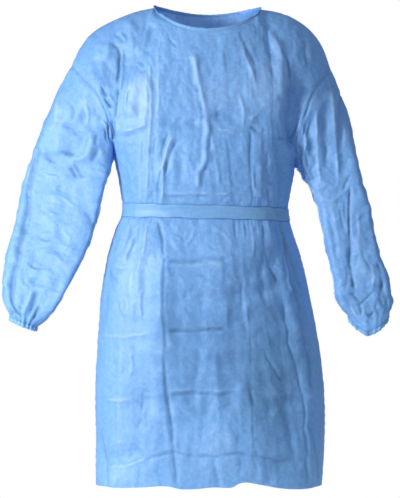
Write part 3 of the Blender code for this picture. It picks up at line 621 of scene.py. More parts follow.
SLEEVE_CREASES = {
    "right": creases("""
s 4 -7 397,240 369,294 359,406 355,492 355,558 348,648 340,740 344,820 344,886 332,934 301,962 238,972
s 4 -4 441,244 376,262 351,280 331,286
s 4 -6.4 205,0 191,32 162,54
r 8 7 242,96 223,162 221,222 249,242
s 4 -4.2 193,126 188,168 193,226
s 3 -5.5 262,264 235,286 204,326
s 3 -5 245,256 213,282 185,312
s 4 -3.4 311,228 289,230 257,224
s 3 -3.6 270,396 258,358
s 4 1.8 344,392 344,444 352,500
s 4 2.2 355,18 318,58 278,108
s 4 -1.7 331,70 289,116
r 8 -3.2 148,396 137,454 -39,512
s 4 -2 312,786 281,828 238,842
s 4 -8.3 223,828 219,870 215,912 207,970
s 3 4 242,840 246,880 242,924
s 4 -6 184,888 180,924 164,966
r 12 3.2 455,50 401,118 354,192
r 10 -2.4 316,152 276,150 243,144
r 16 2.6 258,386 262,564 234,710
s 4 -1.7 160,716 156,784 160,846
s 4 -1.8 152,812 148,868 141,910
r 10 -2.2 281,810 219,808 168,798
s 4 1.6 141,642 117,658
s 3 3.4 317,50 297,72 275,108
s 4 -3.6 330,60 312,78 286,102
s 3 -3.2 301,156 290,150 280,138
s 3 2.6 439,80 401,118 364,160
s 3 -3.4 318,0 299,0 277,0
s 3 -4.4 247,8 226,0 219,0
s 3 3.4 243,44 220,34 199,26
s 3 -4.4 220,56 199,54 183,84
s 3 -3 227,96 218,124 204,144
s 3 -3.4 301,224 278,228 254,222
s 3 3 248,246 232,234 222,208
s 3 -3.4 148,432 137,458 121,492
s 3 -3.4 353,260 329,276 299,274
s 3 2.6 348,328 316,344 274,328
s 3 -2.6 297,468 262,486 223,480
s 3 2.6 246,410 207,432 172,426
s 3 -2.6 305,608 262,612 227,590
s 3 2.6 227,534 184,564 160,608
s 3 -2.6 301,734 258,746 219,732
s 3 2.4 230,648 191,664 160,696
s 3 -3.2 375,76 342,94 325,128
s 3 2.8 368,44 332,62 312,102
s 3 -3.2 354,146 320,148 298,132
s 3 -5 418,996 316,966 266,968
s 3 -5 258,982 195,998 109,1000
""") + SLEEVE_BACK_CREASES,
    "left": creases("""
s 4 3.5 318,40 253,126 187,246 162,312
s 5 3.5 419,30 376,90 325,168 290,260 258,328
r 9 -5 358,54 295,142 232,262
r 10 -4.4 441,94 362,170 335,234 321,314
s 4 -3.7 273,376 301,344 336,320
s 4 -7.4 316,362 266,492 234,616 207,710 199,784 207,832
s 4 -2.6 277,396 238,496 215,622 191,726
s 4 2.4 145,326 152,370 191,394 242,388 281,370
r 13 3.6 301,552 297,654 273,782
s 3 -5 188,824 207,860 227,880
s 3 -5 188,896 230,880 270,860 309,830
s 3 -4 207,878 219,916 199,946
s 3 1.8 312,816 273,856 230,884
s 4 -5 355,698 359,750 352,816 332,880 355,952
s 4 -4.6 352,788 352,874 367,954
s 4 -6 441,0 401,0 368,0 341,0
s 3 3 427,0 392,0 365,0
s 4 -5 554,76 411,106 387,140
s 4 -6 365,0 332,0 295,6 264,12 237,0
s 4 3.1 283,44 231,56 182,90
s 4 -2.4 255,38 206,54
r 9 -6 195,24 165,78 159,186 140,300
s 3 -2 199,940 234,956 277,960
s 3 -2 160,972 207,980 242,1000
s 4 -2 145,798 164,858 164,920
s 4 2 172,860 172,920 180,962
r 10 -2.8 355,432 355,542 363,650
s 4 1.8 188,416 176,572 160,720
s 4 -1.7 160,424 152,566 148,664
s 4 -5.5 144,32 119,116 105,236
s 3 -3.2 276,148 274,190 242,226
s 3 2.8 389,148 369,186 340,228
s 3 -3.2 227,430 219,502 223,564
s 3 2.8 320,468 316,538 297,594
s 3 -3.6 305,638 305,696 316,752
s 3 3.2 328,702 320,772 297,832
s 3 -4.4 230,918 262,936 301,924
s 3 3.2 168,912 172,946 203,972
s 3 -4 320,878 301,916 324,956
s 3 -3.2 188,674 180,746 164,820
s 3 -5.5 168,0 152,60 115,96
s 3 -5.5 128,128 125,212 115,286
s 4 -5 176,82 164,132 140,194
s 3 3.5 229,64 200,92 159,98
r 12 -7 260,24 222,112 181,240
""") + SLEEVE_BACK_CREASES,
}


# ---- curves and forms

def between(xs, ys, slopes, at):
    """The smooth curve through (xs, ys) with these slopes, at the places `at`."""
    i = np.clip(np.searchsorted(xs, at) - 1, 0, len(xs) - 2)
    step = xs[i + 1] - xs[i]
    t = (at - xs[i]) / step
    if ys.ndim > 1:
        step, t = step[:, None], t[:, None]
    line = ys[i] * (1 + 2 * t) * (1 - t) ** 2 + ys[i + 1] * t * t * (3 - 2 * t)
    return line + step * t * (1 - t) * (slopes[i] * (1 - t) - slopes[i + 1] * t)


def smooth(rows, key, name, at):
    """Column `name` of a table where its rising column `key` is `at`, on a smooth curve."""
    xs, ys = rows[key], rows[name]
    return between(xs, ys, np.gradient(ys, xs), np.clip(at, xs[0], xs[-1]))


def ease(t):
    """0 before 0, 1 after 1, and smooth between."""
    t = np.clip(t, 0.0, 1.0)
    return t * t * (3 - 2 * t)


def power(value, exponent):
    """A power that keeps the value's sign."""
    return np.sign(value) * np.abs(value) ** exponent


def bell(off):
    return np.exp(-off ** 2)


def unit(vectors):
    return vectors / np.maximum(np.linalg.norm(vectors, axis=-1, keepdims=True), 1e-12)


def lengths(points):
    """How far along a line each of its points is."""
    return np.concatenate([[0], np.cumsum(np.linalg.norm(np.diff(points, axis=0), axis=1))])


def armpit_z(u):
    middle = (ARMPIT_Z["right"] + ARMPIT_Z["left"]) / 2
    return middle + (ARMPIT_Z["left"] - ARMPIT_Z["right"]) / 2 * np.sin(math.pi / 2 * u)


def below_belt(u, drop):
    """The height of the row that is `drop` below the belt's middle."""
    middle = armpit_z(0.0)
    lean = ((HEM_Z - BELT_Z + drop) / (HEM_Z - middle)) ** BELT_LEAN
    return BELT_Z - drop + lean * (armpit_z(u) - middle)


def skirt_point(side, u, z):
    """The body below the armpits."""
    right, left = smooth(BODY, "z", "right", z), smooth(BODY, "z", "left", z)
    depth = smooth(BODY, "z", "front" if side == FRONT else "back", z)
    x = (left + right) / 2 + (left - right) / 2 * power(np.sin(math.pi / 2 * u), SECTION_POWER)
    y = side * depth * np.maximum(np.cos(math.pi / 2 * u), 0.0) ** SECTION_POWER
    return np.stack([x, y, np.broadcast_to(z, x.shape)], -1)


def top_line(side, u):
    """The top edge of a panel: shoulder seam, neckline, shoulder seam."""
    cut = NECK_CUT[side]
    (x0, z0), (x1, z1) = ((RIDGE[name]["x"][0], RIDGE[name]["z"][0]) for name in OUTWARD)
    across = np.clip(u / NECK_SHARE, -1, 1)
    bow = np.cos(math.pi / 2 * across)
    x = (x0 + x1) / 2 + (x1 - x0) / 2 * np.sin(math.pi / 2 * across)
    y = NECK_Y + side * cut["reach"] * bow ** 0.9
    z = (z0 + z1) / 2 + (z1 - z0) / 2 * across - cut["drop"] * bow ** cut["power"]
    for name, outward in OUTWARD.items():
        share = (outward * u - NECK_SHARE) / (1 - NECK_SHARE)
        outside = share > 0
        x = np.where(outside, smooth(RIDGE[name], "share", "x", share), x)
        y = np.where(outside, NECK_Y * (1 - 0.5 * share), y)
        z = np.where(outside, smooth(RIDGE[name], "share", "z", share), z)
    return np.stack([x, y, z], -1)


def chest_point(side, u, v):
    """The body above the armpits. v runs from 0 at the armpits to 1 at the top edge."""
    low, high = skirt_point(side, u, armpit_z(u)), top_line(side, u)
    rounding = NECK_ROUNDING + (1 - NECK_ROUNDING) * ease(np.abs(u) / NECK_SHARE)
    rise = (1 - rounding) * v + rounding * np.sin(math.pi / 2 * v)
    reach = (1 - rounding) * (1 - v) + rounding * np.cos(math.pi / 2 * v)
    outer = ease((np.abs(u) - NECK_SHARE) / (1 - NECK_SHARE))
    turn = outer * rise ** ARMHOLE_TURN + (1 - outer) * (1 - reach)
    x = low[..., 0] + (high[..., 0] - low[..., 0]) * turn
    y = high[..., 1] + (low[..., 1] - high[..., 1]) * reach
    z = low[..., 2] + (high[..., 2] - low[..., 2]) * rise
    y = y + side * ARMHOLE_DEPTH[side] * (4 * rise * (1 - rise)) ** ARMHOLE_BOW * np.abs(u) ** 3
    return np.stack([x, y, z], -1)


def grid_normals(points):
    """The normals of a grid whose columns run from the wearer's right and whose rows run upwards, seen
    from the front."""
    return unit(np.cross(np.gradient(points, axis=1), np.gradient(points, axis=0)))


def squared(turns, exponent):
    """A way round a rounded square: with exponent 1 it is a circle, and with less it is squarer."""
    across, facing = np.cos(2 * math.pi * turns), np.sin(2 * math.pi * turns)
    size = (np.abs(across) ** (2 / exponent) + np.abs(facing) ** (2 / exponent)) ** (-exponent / 2)
    return across * size, facing * size


def sleeve_section(name, share, turns):
    """A sleeve's plain section. turns runs from 0 at the armpit side, by way of the front."""
    x, y, z, wide, deep, slant, tip = (
        smooth(SLEEVE[name], "share", column, share) for column in list(SLEEVE[name])[1:]
    )
    slant, tip = np.radians(slant), np.radians(tip)
    free = ease(share / ARMHOLE_FADE) * ease((1 - share) / CUFF_FADE)
    flat = free * (np.sin(2 * math.pi * turns) > 0)
    inward, forward = squared(turns, SLEEVE_POWER - FLATTER[name] * flat)
    inward, forward = inward * wide, forward * deep * (1 - FLAT_DEPTH * flat)
    forward += SLEEVE_TURN[name] * inward * ease(share / ARMHOLE_FADE) * ease((1 - share) / CUFF_FADE)
    return np.stack([
        x - OUTWARD[name] * inward * np.cos(slant),
        y - forward * np.cos(tip),
        z - inward * np.sin(slant) - forward * np.sin(tip),
    ], -1)


def ring_normals(name, points):
    around = np.roll(points, -1, axis=1) - np.roll(points, 1, axis=1)
    return -OUTWARD[name] * unit(np.cross(around, np.gradient(points, axis=0)))


# ---- unevenness and creases

def waves(across, along, size, stretch, seed, count=14):
    """Soft unevenness from -1 to 1. `stretch` is how much longer than wide its swells are."""
    rng = np.random.default_rng(seed)
    total = np.zeros(np.broadcast(across, along).shape)
    for _ in range(count):
        angle = rng.uniform(-0.5, 0.5)
        k = 2 * math.pi / (size * rng.uniform(0.7, 1.8))
        x = across * math.cos(angle) + along * math.sin(angle) / stretch
        z = (along * math.cos(angle) - across * math.sin(angle)) / stretch
        total += np.sin(k * x + 0.8 * np.sin(0.6 * k * z + rng.uniform(0, 6)) + rng.uniform(0, 6))
    return total / math.sqrt(count)


def swells(kinds, across, along, seed):
    return sum(
        height * waves(across, along, size, stretch, seed + step) for height, size, stretch, step in kinds
    )


def line_waves(along, size, seed):
    """Unevenness along a line."""
    return waves(along, along * 0, size, 1, seed, 6)


def crumple(across, along, size, seed, count=9):
    """Flat facets with sharp folds between them, from about -1 to 1: zigzags that cross each other at
    all angles, each in patches of its own."""
    rng = np.random.default_rng(seed)
    total = np.zeros(across.shape)
    for _ in range(count):
        angle = rng.uniform(0, math.pi)
        length = size * rng.uniform(0.6, 1.7)
        line = across * math.cos(angle) + along * math.sin(angle)
        line = line + 0.22 * size * waves(across, along, 2.6 * size, 1, rng.integers(1000), 4)
        zigzag = np.abs((line / length + rng.uniform(0, 1)) % 1 - 0.5) * 4 - 1
        patches = ease(0.5 + 0.8 * waves(across, along, 3.0 * size, 1, rng.integers(1000), 5))
        total += zigzag * patches * length / size
    return total / math.sqrt(count) * 1.4


def crumples(across, along, seed, amount):
    """Crumpling in three sizes."""
    return amount * sum(
        height * crumple(across, along * squeeze, size, seed + step)
        for height, size, squeeze, step in CRUMPLES
    )


def curve(points):
    """A smooth line through the points, and at each of its places the length up to there."""
    along = lengths(points)
    slopes = np.gradient(points, along, axis=0) if len(points) > 2 else np.diff(points, axis=0) / along[-1]
    at = np.linspace(0, along[-1], max(int(along[-1] / CREASE_STEP), 2) + 1)
    return between(along, points, np.broadcast_to(slopes, points.shape), at), at


def stray(way, across, along, seed):
    """`way` with the unevenness of a path that was not drawn with a ruler."""
    fine, wide = waves(across, along, 0.022, 1, seed, 6), waves(across, along, 0.07, 1, seed + 1, 6)
    return way + 0.0006 * fine + 0.0012 * wide


def relief(drawn, across, along, scale=(0.001, 0.001)):
    """The height of all the creases at the places (across, along), in metres out of the cloth, and the
    lines along the sharp ones: pale on a ridge, partly worn whitening and partly a painted highlight,
    and painted shade in a trough. A path is given in units of `scale`, and a crease is uneven along
    its length."""
    total, sharp = np.zeros(across.shape), np.zeros(across.shape)
    across = stray(across, across, along, 7)
    along = stray(along, across, along, 9)
    broken = ease(0.75 + 0.45 * waves(across, along, 0.035, 1, 11, 6))
    for number, (width, height, kind, path) in enumerate(drawn):
        line, at = curve(path * scale)
        width, height = width * 0.001, height * 0.001
        reach = (2.4 if kind == "r" else 4.5) * width
        low, high = line.min(axis=0) - reach, line.max(axis=0) + reach
        near = (across > low[0]) & (across < high[0]) & (along > low[1]) & (along < high[1])
        if not near.any():
            continue
        a, b = across[near], along[near]
        best, where = np.full(a.shape, 1e9), np.zeros(a.shape)
        for (a0, b0), (a1, b1), start, end in zip(line[:-1], line[1:], at[:-1], at[1:]):
            da, db = a1 - a0, b1 - b0
            t = np.clip(((a - a0) * da + (b - b0) * db) / (da * da + db * db), 0, 1)
            distance = np.hypot(a - a0 - t * da, b - b0 - t * db)
            nearer = distance < best
            best = np.where(nearer, distance, best)
            where = np.where(nearer, start + t * (end - start), where)
        fade = min(max(CREASE_FADE, 1.2 * width), at[-1] / 3)
        ends = ease(where / fade) * ease((at[-1] - where) / fade)
        swell = np.sin(where * (61 + 13 * (number % 5)) + number) * np.sin(where * 23 + 2 * number)
        uneven = 1 + 0.26 * swell * ease(at[-1] / 0.08 - 0.5)
        reached = best / width
        profile = bell(reached) if kind == "r" else np.exp(-reached * (1 + 0.3 * reached))
        total[near] += height * profile * ends * uneven
        # A line along a sharp crease: pale on a ridge, partly worn whitening and partly painted highlight,
        # and painted shade in a trough, darker the deeper it is.
        if kind == "s" and width < WIDEST_LINE:
            sharp[near] += np.sign(height) * bell(best / 0.0032) * ends * min(abs(height) / 0.004, 1.8)
    return total, sharp * broken


def seam_swell(beside, along, seed):
    """The cloth swells out beside a seam, with small puckers. `beside` is the distance from the seam."""
    near = ease(beside / SEAM_NEAR) * (1 - ease((beside - SEAM_NEAR) / SEAM_FAR))
    return near * (SEAM_RISE + SEAM_PUCKER * line_waves(along, 0.011, seed))


def seam_shade(beside):
    return SEAM_DARK * bell(beside / SEAM_LINE)


def painted_crease_shading_and_seam_line(folds, sharp, beside):
    # Painted light and shade: paler where the cloth is raised and darker where it is sunk, with the sharp
    # creases' lines and the dark line along a seam.
    return sharp + 0.4 * np.clip(folds / FOLD_HEIGHT, -1, 1) + seam_shade(beside)


# ---- meshes

def put(name, data):
    """A new object in the scene."""
    made = bpy.data.objects.new(name, data)
    bpy.context.scene.collection.objects.link(made)
    return made


def add_mesh(name, points, faces, surface, uv, painted_shading=None):
    mesh = bpy.data.meshes.new(name)
    mesh.vertices.add(len(points))
    mesh.vertices.foreach_set("co", np.ascontiguousarray(points, np.float32).ravel())
    faces = np.ascontiguousarray(faces, np.int32)
    mesh.loops.add(faces.size)
    mesh.loops.foreach_set("vertex_index", faces.ravel())
    mesh.polygons.add(len(faces))
    mesh.polygons.foreach_set("loop_start", np.arange(0, faces.size, faces.shape[1], dtype=np.int32))
    mesh.update(calc_edges=True)
    mesh.validate()
    mesh.polygons.foreach_set("use_smooth", np.ones(len(faces), bool))
    layer = mesh.uv_layers.new(name="Cloth")
    layer.uv.foreach_set("vector", np.ascontiguousarray(uv[faces.ravel()], np.float32).ravel())
    if painted_shading is not None:
        # The painted light and shade, kept on the points as "fold" for the cloth's material.
        painted_shading_layer = mesh.attributes.new("fold", "FLOAT", "POINT")
        painted_shading_layer.data.foreach_set("value", np.ascontiguousarray(painted_shading, np.float32).ravel())
    mesh.materials.append(surface)
    return put(name, mesh)


def places(across, along):
    """Where each point of a grid lies on the flat cloth."""
    return np.stack(np.broadcast_arrays(across[None, :], along[:, None]), -1)


def add_grid(name, points, surface, ring=False, flip=False, painted_shading=None):
    """A sheet through a grid of points. `ring` joins its last column to its first."""
    rows, columns = points.shape[:2]
    uv = places(lengths(points[rows // 2]), lengths(points[:, columns // 2]))
    if ring:
        points = np.concatenate([points, points[:, :1]], axis=1)
        width = np.linalg.norm(points[rows // 2, 1] - points[rows // 2, 0])
        uv = np.concatenate([uv, uv[:, -1:] + [width, 0]], axis=1)
        painted_shading = None if painted_shading is None else np.concatenate([painted_shading, painted_shading[:, :1]], axis=1)
        columns += 1
    i, j = np.mgrid[0:rows - 1, 0:columns - 1]
    a = (i * columns + j).ravel()
    faces = np.stack([a, a + 1, a + 1 + columns, a + columns], 1)
    if flip:
        faces = faces[:, ::-1]
    made = add_mesh(name, points.reshape(-1, 3), faces, surface, uv.reshape(-1, 2), painted_shading)
    if ring:
        weld(made)
    return made


def weld(made):
    """Joins the points that lie on each other."""
    work = bmesh.new()
    work.from_mesh(made.data)
    bmesh.ops.remove_doubles(work, verts=work.verts, dist=1e-6)
    work.to_mesh(made.data)
    work.free()


def add_tube(name, rings, surface, closed=False):
    """A closed skin through rings of points: the rings follow each other along the piece. Its ends are
    capped, unless it is closed end to end."""
    count, points = rings.shape[:2]
    i, j = np.mgrid[0:count if closed else count - 1, 0:points]
    a, b = (i * points + j).ravel(), (i * points + (j + 1) % points).ravel()
    c, d = ((i + 1) % count * points + (j + 1) % points).ravel(), ((i + 1) % count * points + j).ravel()
    faces = np.stack([a, b, c, d], 1)
    if not closed:
        caps = []
        for base, turn in ((0, 1), ((count - 1) * points, -1)):
            for k in range(points // 2 - 1):
                quad = [base + k, base + points - 1 - k, base + points - 2 - k, base + k + 1]
                caps.append(quad[::turn])
        faces = np.concatenate([faces, np.array(caps)])
    uv = places(lengths(rings[0]), lengths(rings[:, 0])).reshape(-1, 2)
    return add_mesh(name, rings.reshape(-1, 3), faces, surface, uv)


# ---- the panels

def columns_of(u0, u1, count):
    """Columns from u0 to u1, with one on each point where the neckline meets a shoulder."""
    u = np.linspace(u0, u1, count + 1)
    for corner in (-NECK_SHARE, NECK_SHARE):
        if u0 < corner < u1:
            u[np.abs(u - corner).argmin()] = corner
    return u


def hem_line(side, x):
    """The hem's height at x."""
    return smooth(HEM_LINE[side], "x", "z", x * 1000) / 1000


def panel_base(side, u, skirt_rows, chest_rows):
    """The plain form of a panel, as rows from the hem upwards."""
    low = skirt_point(side, u, np.full(u.shape, HEM_Z))
    hem = hem_line(side, low[:, 0])
    rows = [skirt_point(side, u, hem + (armpit_z(u) - hem) * k / skirt_rows) for k in range(skirt_rows)]
    rows += [chest_point(side, u, k / chest_rows) for k in range(chest_rows + 1)]
    return np.array(rows)


def belt_pull(side, u, above):
    """The small pleats that the belt draws up, above and below it. `above` is the height over its middle."""
    off = np.abs(above) - BELT_WIDTH / 2 + 0.004
    total = np.zeros(above.shape)
    for at, width, height, rise, fall in BELT_PLEATS[side]:
        length = np.where(above > 0, rise, fall)
        size = ease(off / 0.010) * ease(1 - off / np.maximum(length, 1e-3))
        total += height * bell((u - at) / width) * size * (length > 0.001)
    return total


def shaped_panel(side, u, skirt_rows, chest_rows, drawn, seed):
    """A panel with its creases, and its painted light and shade."""
    base = panel_base(side, u, skirt_rows, chest_rows)
    x, z = base[..., 0], base[..., 2]
    folds, sharp = relief(drawn, x, z)
    above = z - below_belt(u, 0.0)
    height = folds + belt_pull(side, u, above)
    height += swells(PANEL_SWELLS, x, z, seed)
    above_waist = ease((z + 0.50) / 0.06)
    height += crumples(x, z, seed + 100, SKIRT_CRUMPLE + CHEST_CRUMPLE * above_waist)
    under_belt = ease((np.abs(above) - BELT_WIDTH / 2 + 0.006) / 0.012)
    height = height * (0.15 + 0.85 * under_belt) - BELT_PRESS * (1 - under_belt)
    height *= ease((1 - np.abs(u)) / EDGE_FADE)
    beside = (1 - np.abs(u)) * HALF_PANEL
    height += seam_swell(beside, z, seed + 9)
    height[-8:] *= np.linspace(1, 0, 8)[:, None]
    points = base - side * grid_normals(base) * height[..., None]
    painted_shading = painted_crease_shading_and_seam_line(folds, sharp, beside)
    # On the front, wide soft patches of painted light and painted shade.
    if side == FRONT:
        for at_x, at_z, wide, tall, shade in PAINTED_LIGHT_AND_SHADE_PATCHES:
            painted_shading = painted_shading + shade * np.exp(-((x - at_x) / wide) ** 2 - ((z - at_z) / tall) ** 2)
    else:  # under the neckline, where the back's inside shows: painted light over its middle and the wearer's right, and painted shade towards the wearer's left
        painted_neck_light_and_shade = 0.8 - 1.2 * ease((u + 0.05) / 0.50)
        painted_shading = painted_shading + painted_neck_light_and_shade * ease((z + 0.085) / 0.045) * ease((NECK_SHARE + 0.02 - np.abs(u)) / 0.14)
    return points, painted_shading


def lapped(u):
    """Where the upper back panel lies on the lower one or past it: 1 there, and 0 towards its seam."""
    return ease((0.38 - u) / 0.18)


def laid_over(points, u):
    """The upper back panel, lifted off the lower one down the middle of the back."""
    rows = np.linspace(0, 1, len(points))[:, None]
    lift = lapped(u) * (LAYER + (NECK_LAYER - LAYER) * ease((rows - 0.90) / 0.10))
    return points + grid_normals(points) * lift[..., None]


# ---- the sleeves

def armhole_loop(front, back):
    """The armhole, from the armpit up the front, over the shoulder and down the back. The front's edge
    has twice as many points as the back's."""
    return np.concatenate([front[:-2:2], back[:0:-1]])


def pleats(turns, count, seed):
    """Uneven pleats round a cuff, from -1 to 1."""
    rng = np.random.default_rng(seed)
    middles = (np.arange(count) + rng.uniform(-0.28, 0.28, count)) / count
    total = np.zeros(turns.shape)
    for middle, height, width in zip(middles, rng.uniform(0.5, 1.0, count), rng.uniform(0.30, 0.42, count)):
        total += height * bell(((turns - middle + 0.5) % 1 - 0.5) * count / width)
    return 2 * total - 0.9


def sleeve_points(name, loop):
    """A sleeve with its creases, from the armhole to the cuff, and its painted light and shade."""
    seed = SEED[name]
    count = len(loop)
    even = np.arange(count) / count
    climb = (loop[:, 2] - loop[0, 2]) / (loop[count // 2, 2] - loop[0, 2])
    turns = np.arccos(1 - 2 * np.clip(climb, 0, 1)) / (2 * math.pi)
    turns = np.where(even > 0.5, 1 - turns, turns)
    shares = np.linspace(0, 1, SLEEVE_RINGS + 1)[:, None]
    near = 1 - ease(shares / ARMHOLE_FADE)
    turns = even + near * (turns - even)
    plain = sleeve_section(name, shares, turns)
    base = plain + near[..., None] * (loop - plain[0])
    wrapped = np.where(turns > 0.75, turns - 1, turns)
    across, along = wrapped * SLEEVE_ROUND, np.broadcast_to(shares * SLEEVE_LENGTH, turns.shape)
    height, sharp = relief(SLEEVE_CREASES[name], across, along, (SLEEVE_ROUND / 1000, SLEEVE_LENGTH / 1000))
    here = ease((wrapped + 0.25) / 0.12)  # joins the unevenness where the way round starts again
    for shift, share in ((0.0, here), (SLEEVE_ROUND, 1 - here)):
        uneven = swells(SLEEVE_SWELLS, across + shift, along, seed)
        height = height + share * (uneven + crumples(across + shift, along, seed + 100, SLEEVE_CRUMPLE))
    gather = ease((shares - 0.80) / 0.20)
    height *= ease(shares / 0.022) * (1 - 0.6 * ease((shares - 0.93) / 0.07))
    drift = 0.02 * np.sin(9 * shares + 2 * math.pi * even) * (1 - gather)
    height += 0.0022 * gather ** 1.5 * pleats(even + drift, SLEEVE_PLEATS, seed + 7)
    height += seam_swell(along, 0.5 * even, seed + 9)
    points = base + ring_normals(name, base) * height[..., None]
    points[0] = loop
    off = np.abs(points[..., 0] - points[-1].mean(axis=0)[0]) / np.ptp(points[-1, :, 0])
    points[..., 2] += CUFF_POINT[name] * ease((shares - 0.82) / 0.18) * np.minimum(2 * off, 1) ** 1.2
    return points, painted_crease_shading_and_seam_line(height, sharp, along) + 1.6 * seam_shade(SLEEVE_LENGTH - along)


def cuff_points(name, sleeve):
    """The elastic cuff: it carries on from the sleeve's end and turns in over its own edge."""
    last, before = sleeve[-1], sleeve[-4]
    along = unit(last.mean(axis=0) - before.mean(axis=0))
    outward = ring_normals(name, np.stack([before, last]))[-1]
    even = np.arange(len(last)) / len(last)
    ruffle = 0.0008 * pleats(even, 2 * SLEEVE_PLEATS, SEED[name])[:, None]
    return np.array([
        last + along * (way + ruffle * way / 0.011) + outward * (out + ruffle * min(way / 0.004, 1))
        for way, out in CUFF_SECTION
    ])


# ---- strips

def strip_section(half, thick, count):
    """A flat strip's rounded section, as steps across and out: up its outer face and down its inner one."""
    outer = [(half * s, thick / 2 * (1 - 0.5 * abs(s) ** 6)) for s in np.linspace(-1, 1, count)]
    return outer + [(a, -b) for a, b in reversed(outer)]


def neckline():
    """The neckline, from the lower back panel's free edge, round the front, to the upper one's."""
    under = np.linspace(BACK_OVERLAP, -NECK_SHARE, NECK_STEPS[BACK])
    across = np.linspace(-NECK_SHARE, NECK_SHARE, NECK_STEPS[FRONT])[1:-1]
    over = np.linspace(NECK_SHARE, -BACK_OVERLAP, NECK_STEPS[BACK])
    lines, normals, lifts = [], [], []
    for side, u in ((BACK, under), (FRONT, across), (BACK, over)):
        line = chest_point(side, u, np.ones(u.shape))
        below = chest_point(side, u, np.full(u.shape, 0.97))
        facing = unit(np.cross(np.gradient(line, axis=0), line - below))
        outside = line * [1, 1, 0] - [0, NECK_Y, 0]
        lines.append(line)
        normals.append(facing * np.sign(np.sum(facing * outside, axis=-1, keepdims=True)))
        lifts.append(NECK_LAYER * ease((0.34 - u) / 0.14) if u is over else np.zeros(u.shape))
    return np.concatenate(lines), np.concatenate(normals), np.concatenate(lifts)


def soften(values, times):
    for _ in range(times):
        values[1:-1] = (values[:-2] + 2 * values[1:-1] + values[2:]) / 4
    return values


def binding_rings():
    """The bound edge of the neckline."""
    line, facing, lift = neckline()
    line = soften(line, 6)
    along = unit(np.gradient(line, axis=0))
    facing = unit(soften(facing, 8))
    up = unit(unit(np.cross(facing, along)) * np.sign(np.cross(facing, along)[:, 2:]) + [0, 0, 1.2])
    out = unit(np.cross(along, up))
    out *= np.sign(np.sum(out * facing, axis=-1, keepdims=True))
    length = lengths(line)
    pucker = line_waves(length, 0.007, 91)
    rise = 0.0003 * line_waves(length, 0.02, 92)
    rise = rise - 0.0035 * (1 - ease(length / 0.025))  # its lower end slopes under the upper panel
    rings = []
    for across, outwards in strip_section(BINDING_HALF, BINDING_THICK, 8):
        puckered = outwards * (1 + 0.22 * pucker * math.cos(across * 300))
        place = line + out * (lift + 0.0002 + puckered)[:, None]
        rings.append(place + up * (across + 0.0024 + rise)[:, None])
    return np.stack(rings, 1)


def strap_waves(around, size, seed):
    """Unevenness along the belt, which fades where the belt's length starts again."""
    return line_waves(around, size, seed) * ease(around / 0.05) * ease((2 * HALF_BELT - around) / 0.05)


def belt_rings():
    """The belt, all the way round. It is a strip that was folded lengthwise, so it has low ridges."""
    u = np.linspace(-1, 1, BELT_COLUMNS + 1)
    rings = []
    for side, way in ((FRONT, u), (BACK, u[::-1])):
        around = np.linspace(0, HALF_BELT, BELT_COLUMNS + 1) + (0 if side == FRONT else HALF_BELT)
        lift = np.zeros(way.shape)
        if side == BACK:
            lift = LAYER * ease((way + BACK_OVERLAP + 0.02) / 0.05) * lapped(way)
        section = []
        for across, out in strip_section(BELT_WIDTH / 2, BELT_THICK, 13):
            wider = 1 + 0.02 * strap_waves(around, 0.09, 61)
            drop = -across * wider + 0.0007 * strap_waves(around, 0.05, 62)
            near = way[:, None] + np.array([-0.004, 0.0, 0.004])
            base = skirt_point(side, near, below_belt(near, drop[:, None]))
            along = base[:, 2] - base[:, 0]
            facing = unit(np.stack([along[:, 1], -along[:, 0], np.zeros(len(along))], -1))
            facing *= np.sign(np.sum(facing * base[:, 1] * [1, 1, 0], axis=-1, keepdims=True))
            off = BELT_OFF + out + lift
            if out > 0:
                off = off + sum(0.00045 * bell((across - at) / 0.0016) for at in BELT_FOLDS)
                off = off + 0.0003 * strap_waves(around + across, 0.035, 63)
            section.append(base[:, 1] + facing * off[:, None])
        rings.append(np.stack(section, 1)[:-1])
    return np.concatenate(rings)


def knot_rings():
    """The knot: a rounded lump with one turn of the belt wrapped across it."""
    low, high = (np.array(corner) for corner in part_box("belt_knot"))
    centre, half = (low + high) / 2, (high - low) / 2
    angle = 2 * math.pi * np.arange(KNOT_POINTS) / KNOT_POINTS
    rings = []
    for k in range(KNOT_LEVELS):
        climb = math.pi * ((k + 0.5) / KNOT_LEVELS - 0.5)
        girth = math.cos(climb) ** 0.6
        pinch = 1 - 0.16 * math.cos(3 * math.pi * math.sin(climb) ** 2)
        x = power(np.cos(angle), 0.8) * girth * pinch
        y = power(np.sin(angle), 0.7) * girth
        z = np.full(KNOT_POINTS, math.sin(climb))
        across = x * 0.92 + z * 0.38
        band = ease((0.40 - np.abs(across)) / 0.10)
        fold = -0.05 * bell((across - 0.12) / 0.05) - 0.05 * bell((across + 0.17) / 0.05)
        tucks = 0.03 * np.sin(14 * z + 6 * np.abs(x)) * (1 - band)
        size = 0.90 + 0.10 * band + fold + tucks
        rings.append(centre + np.stack([x * half[0] * size, y * half[1] * size, z * half[2]], -1))
    return np.array(rings)


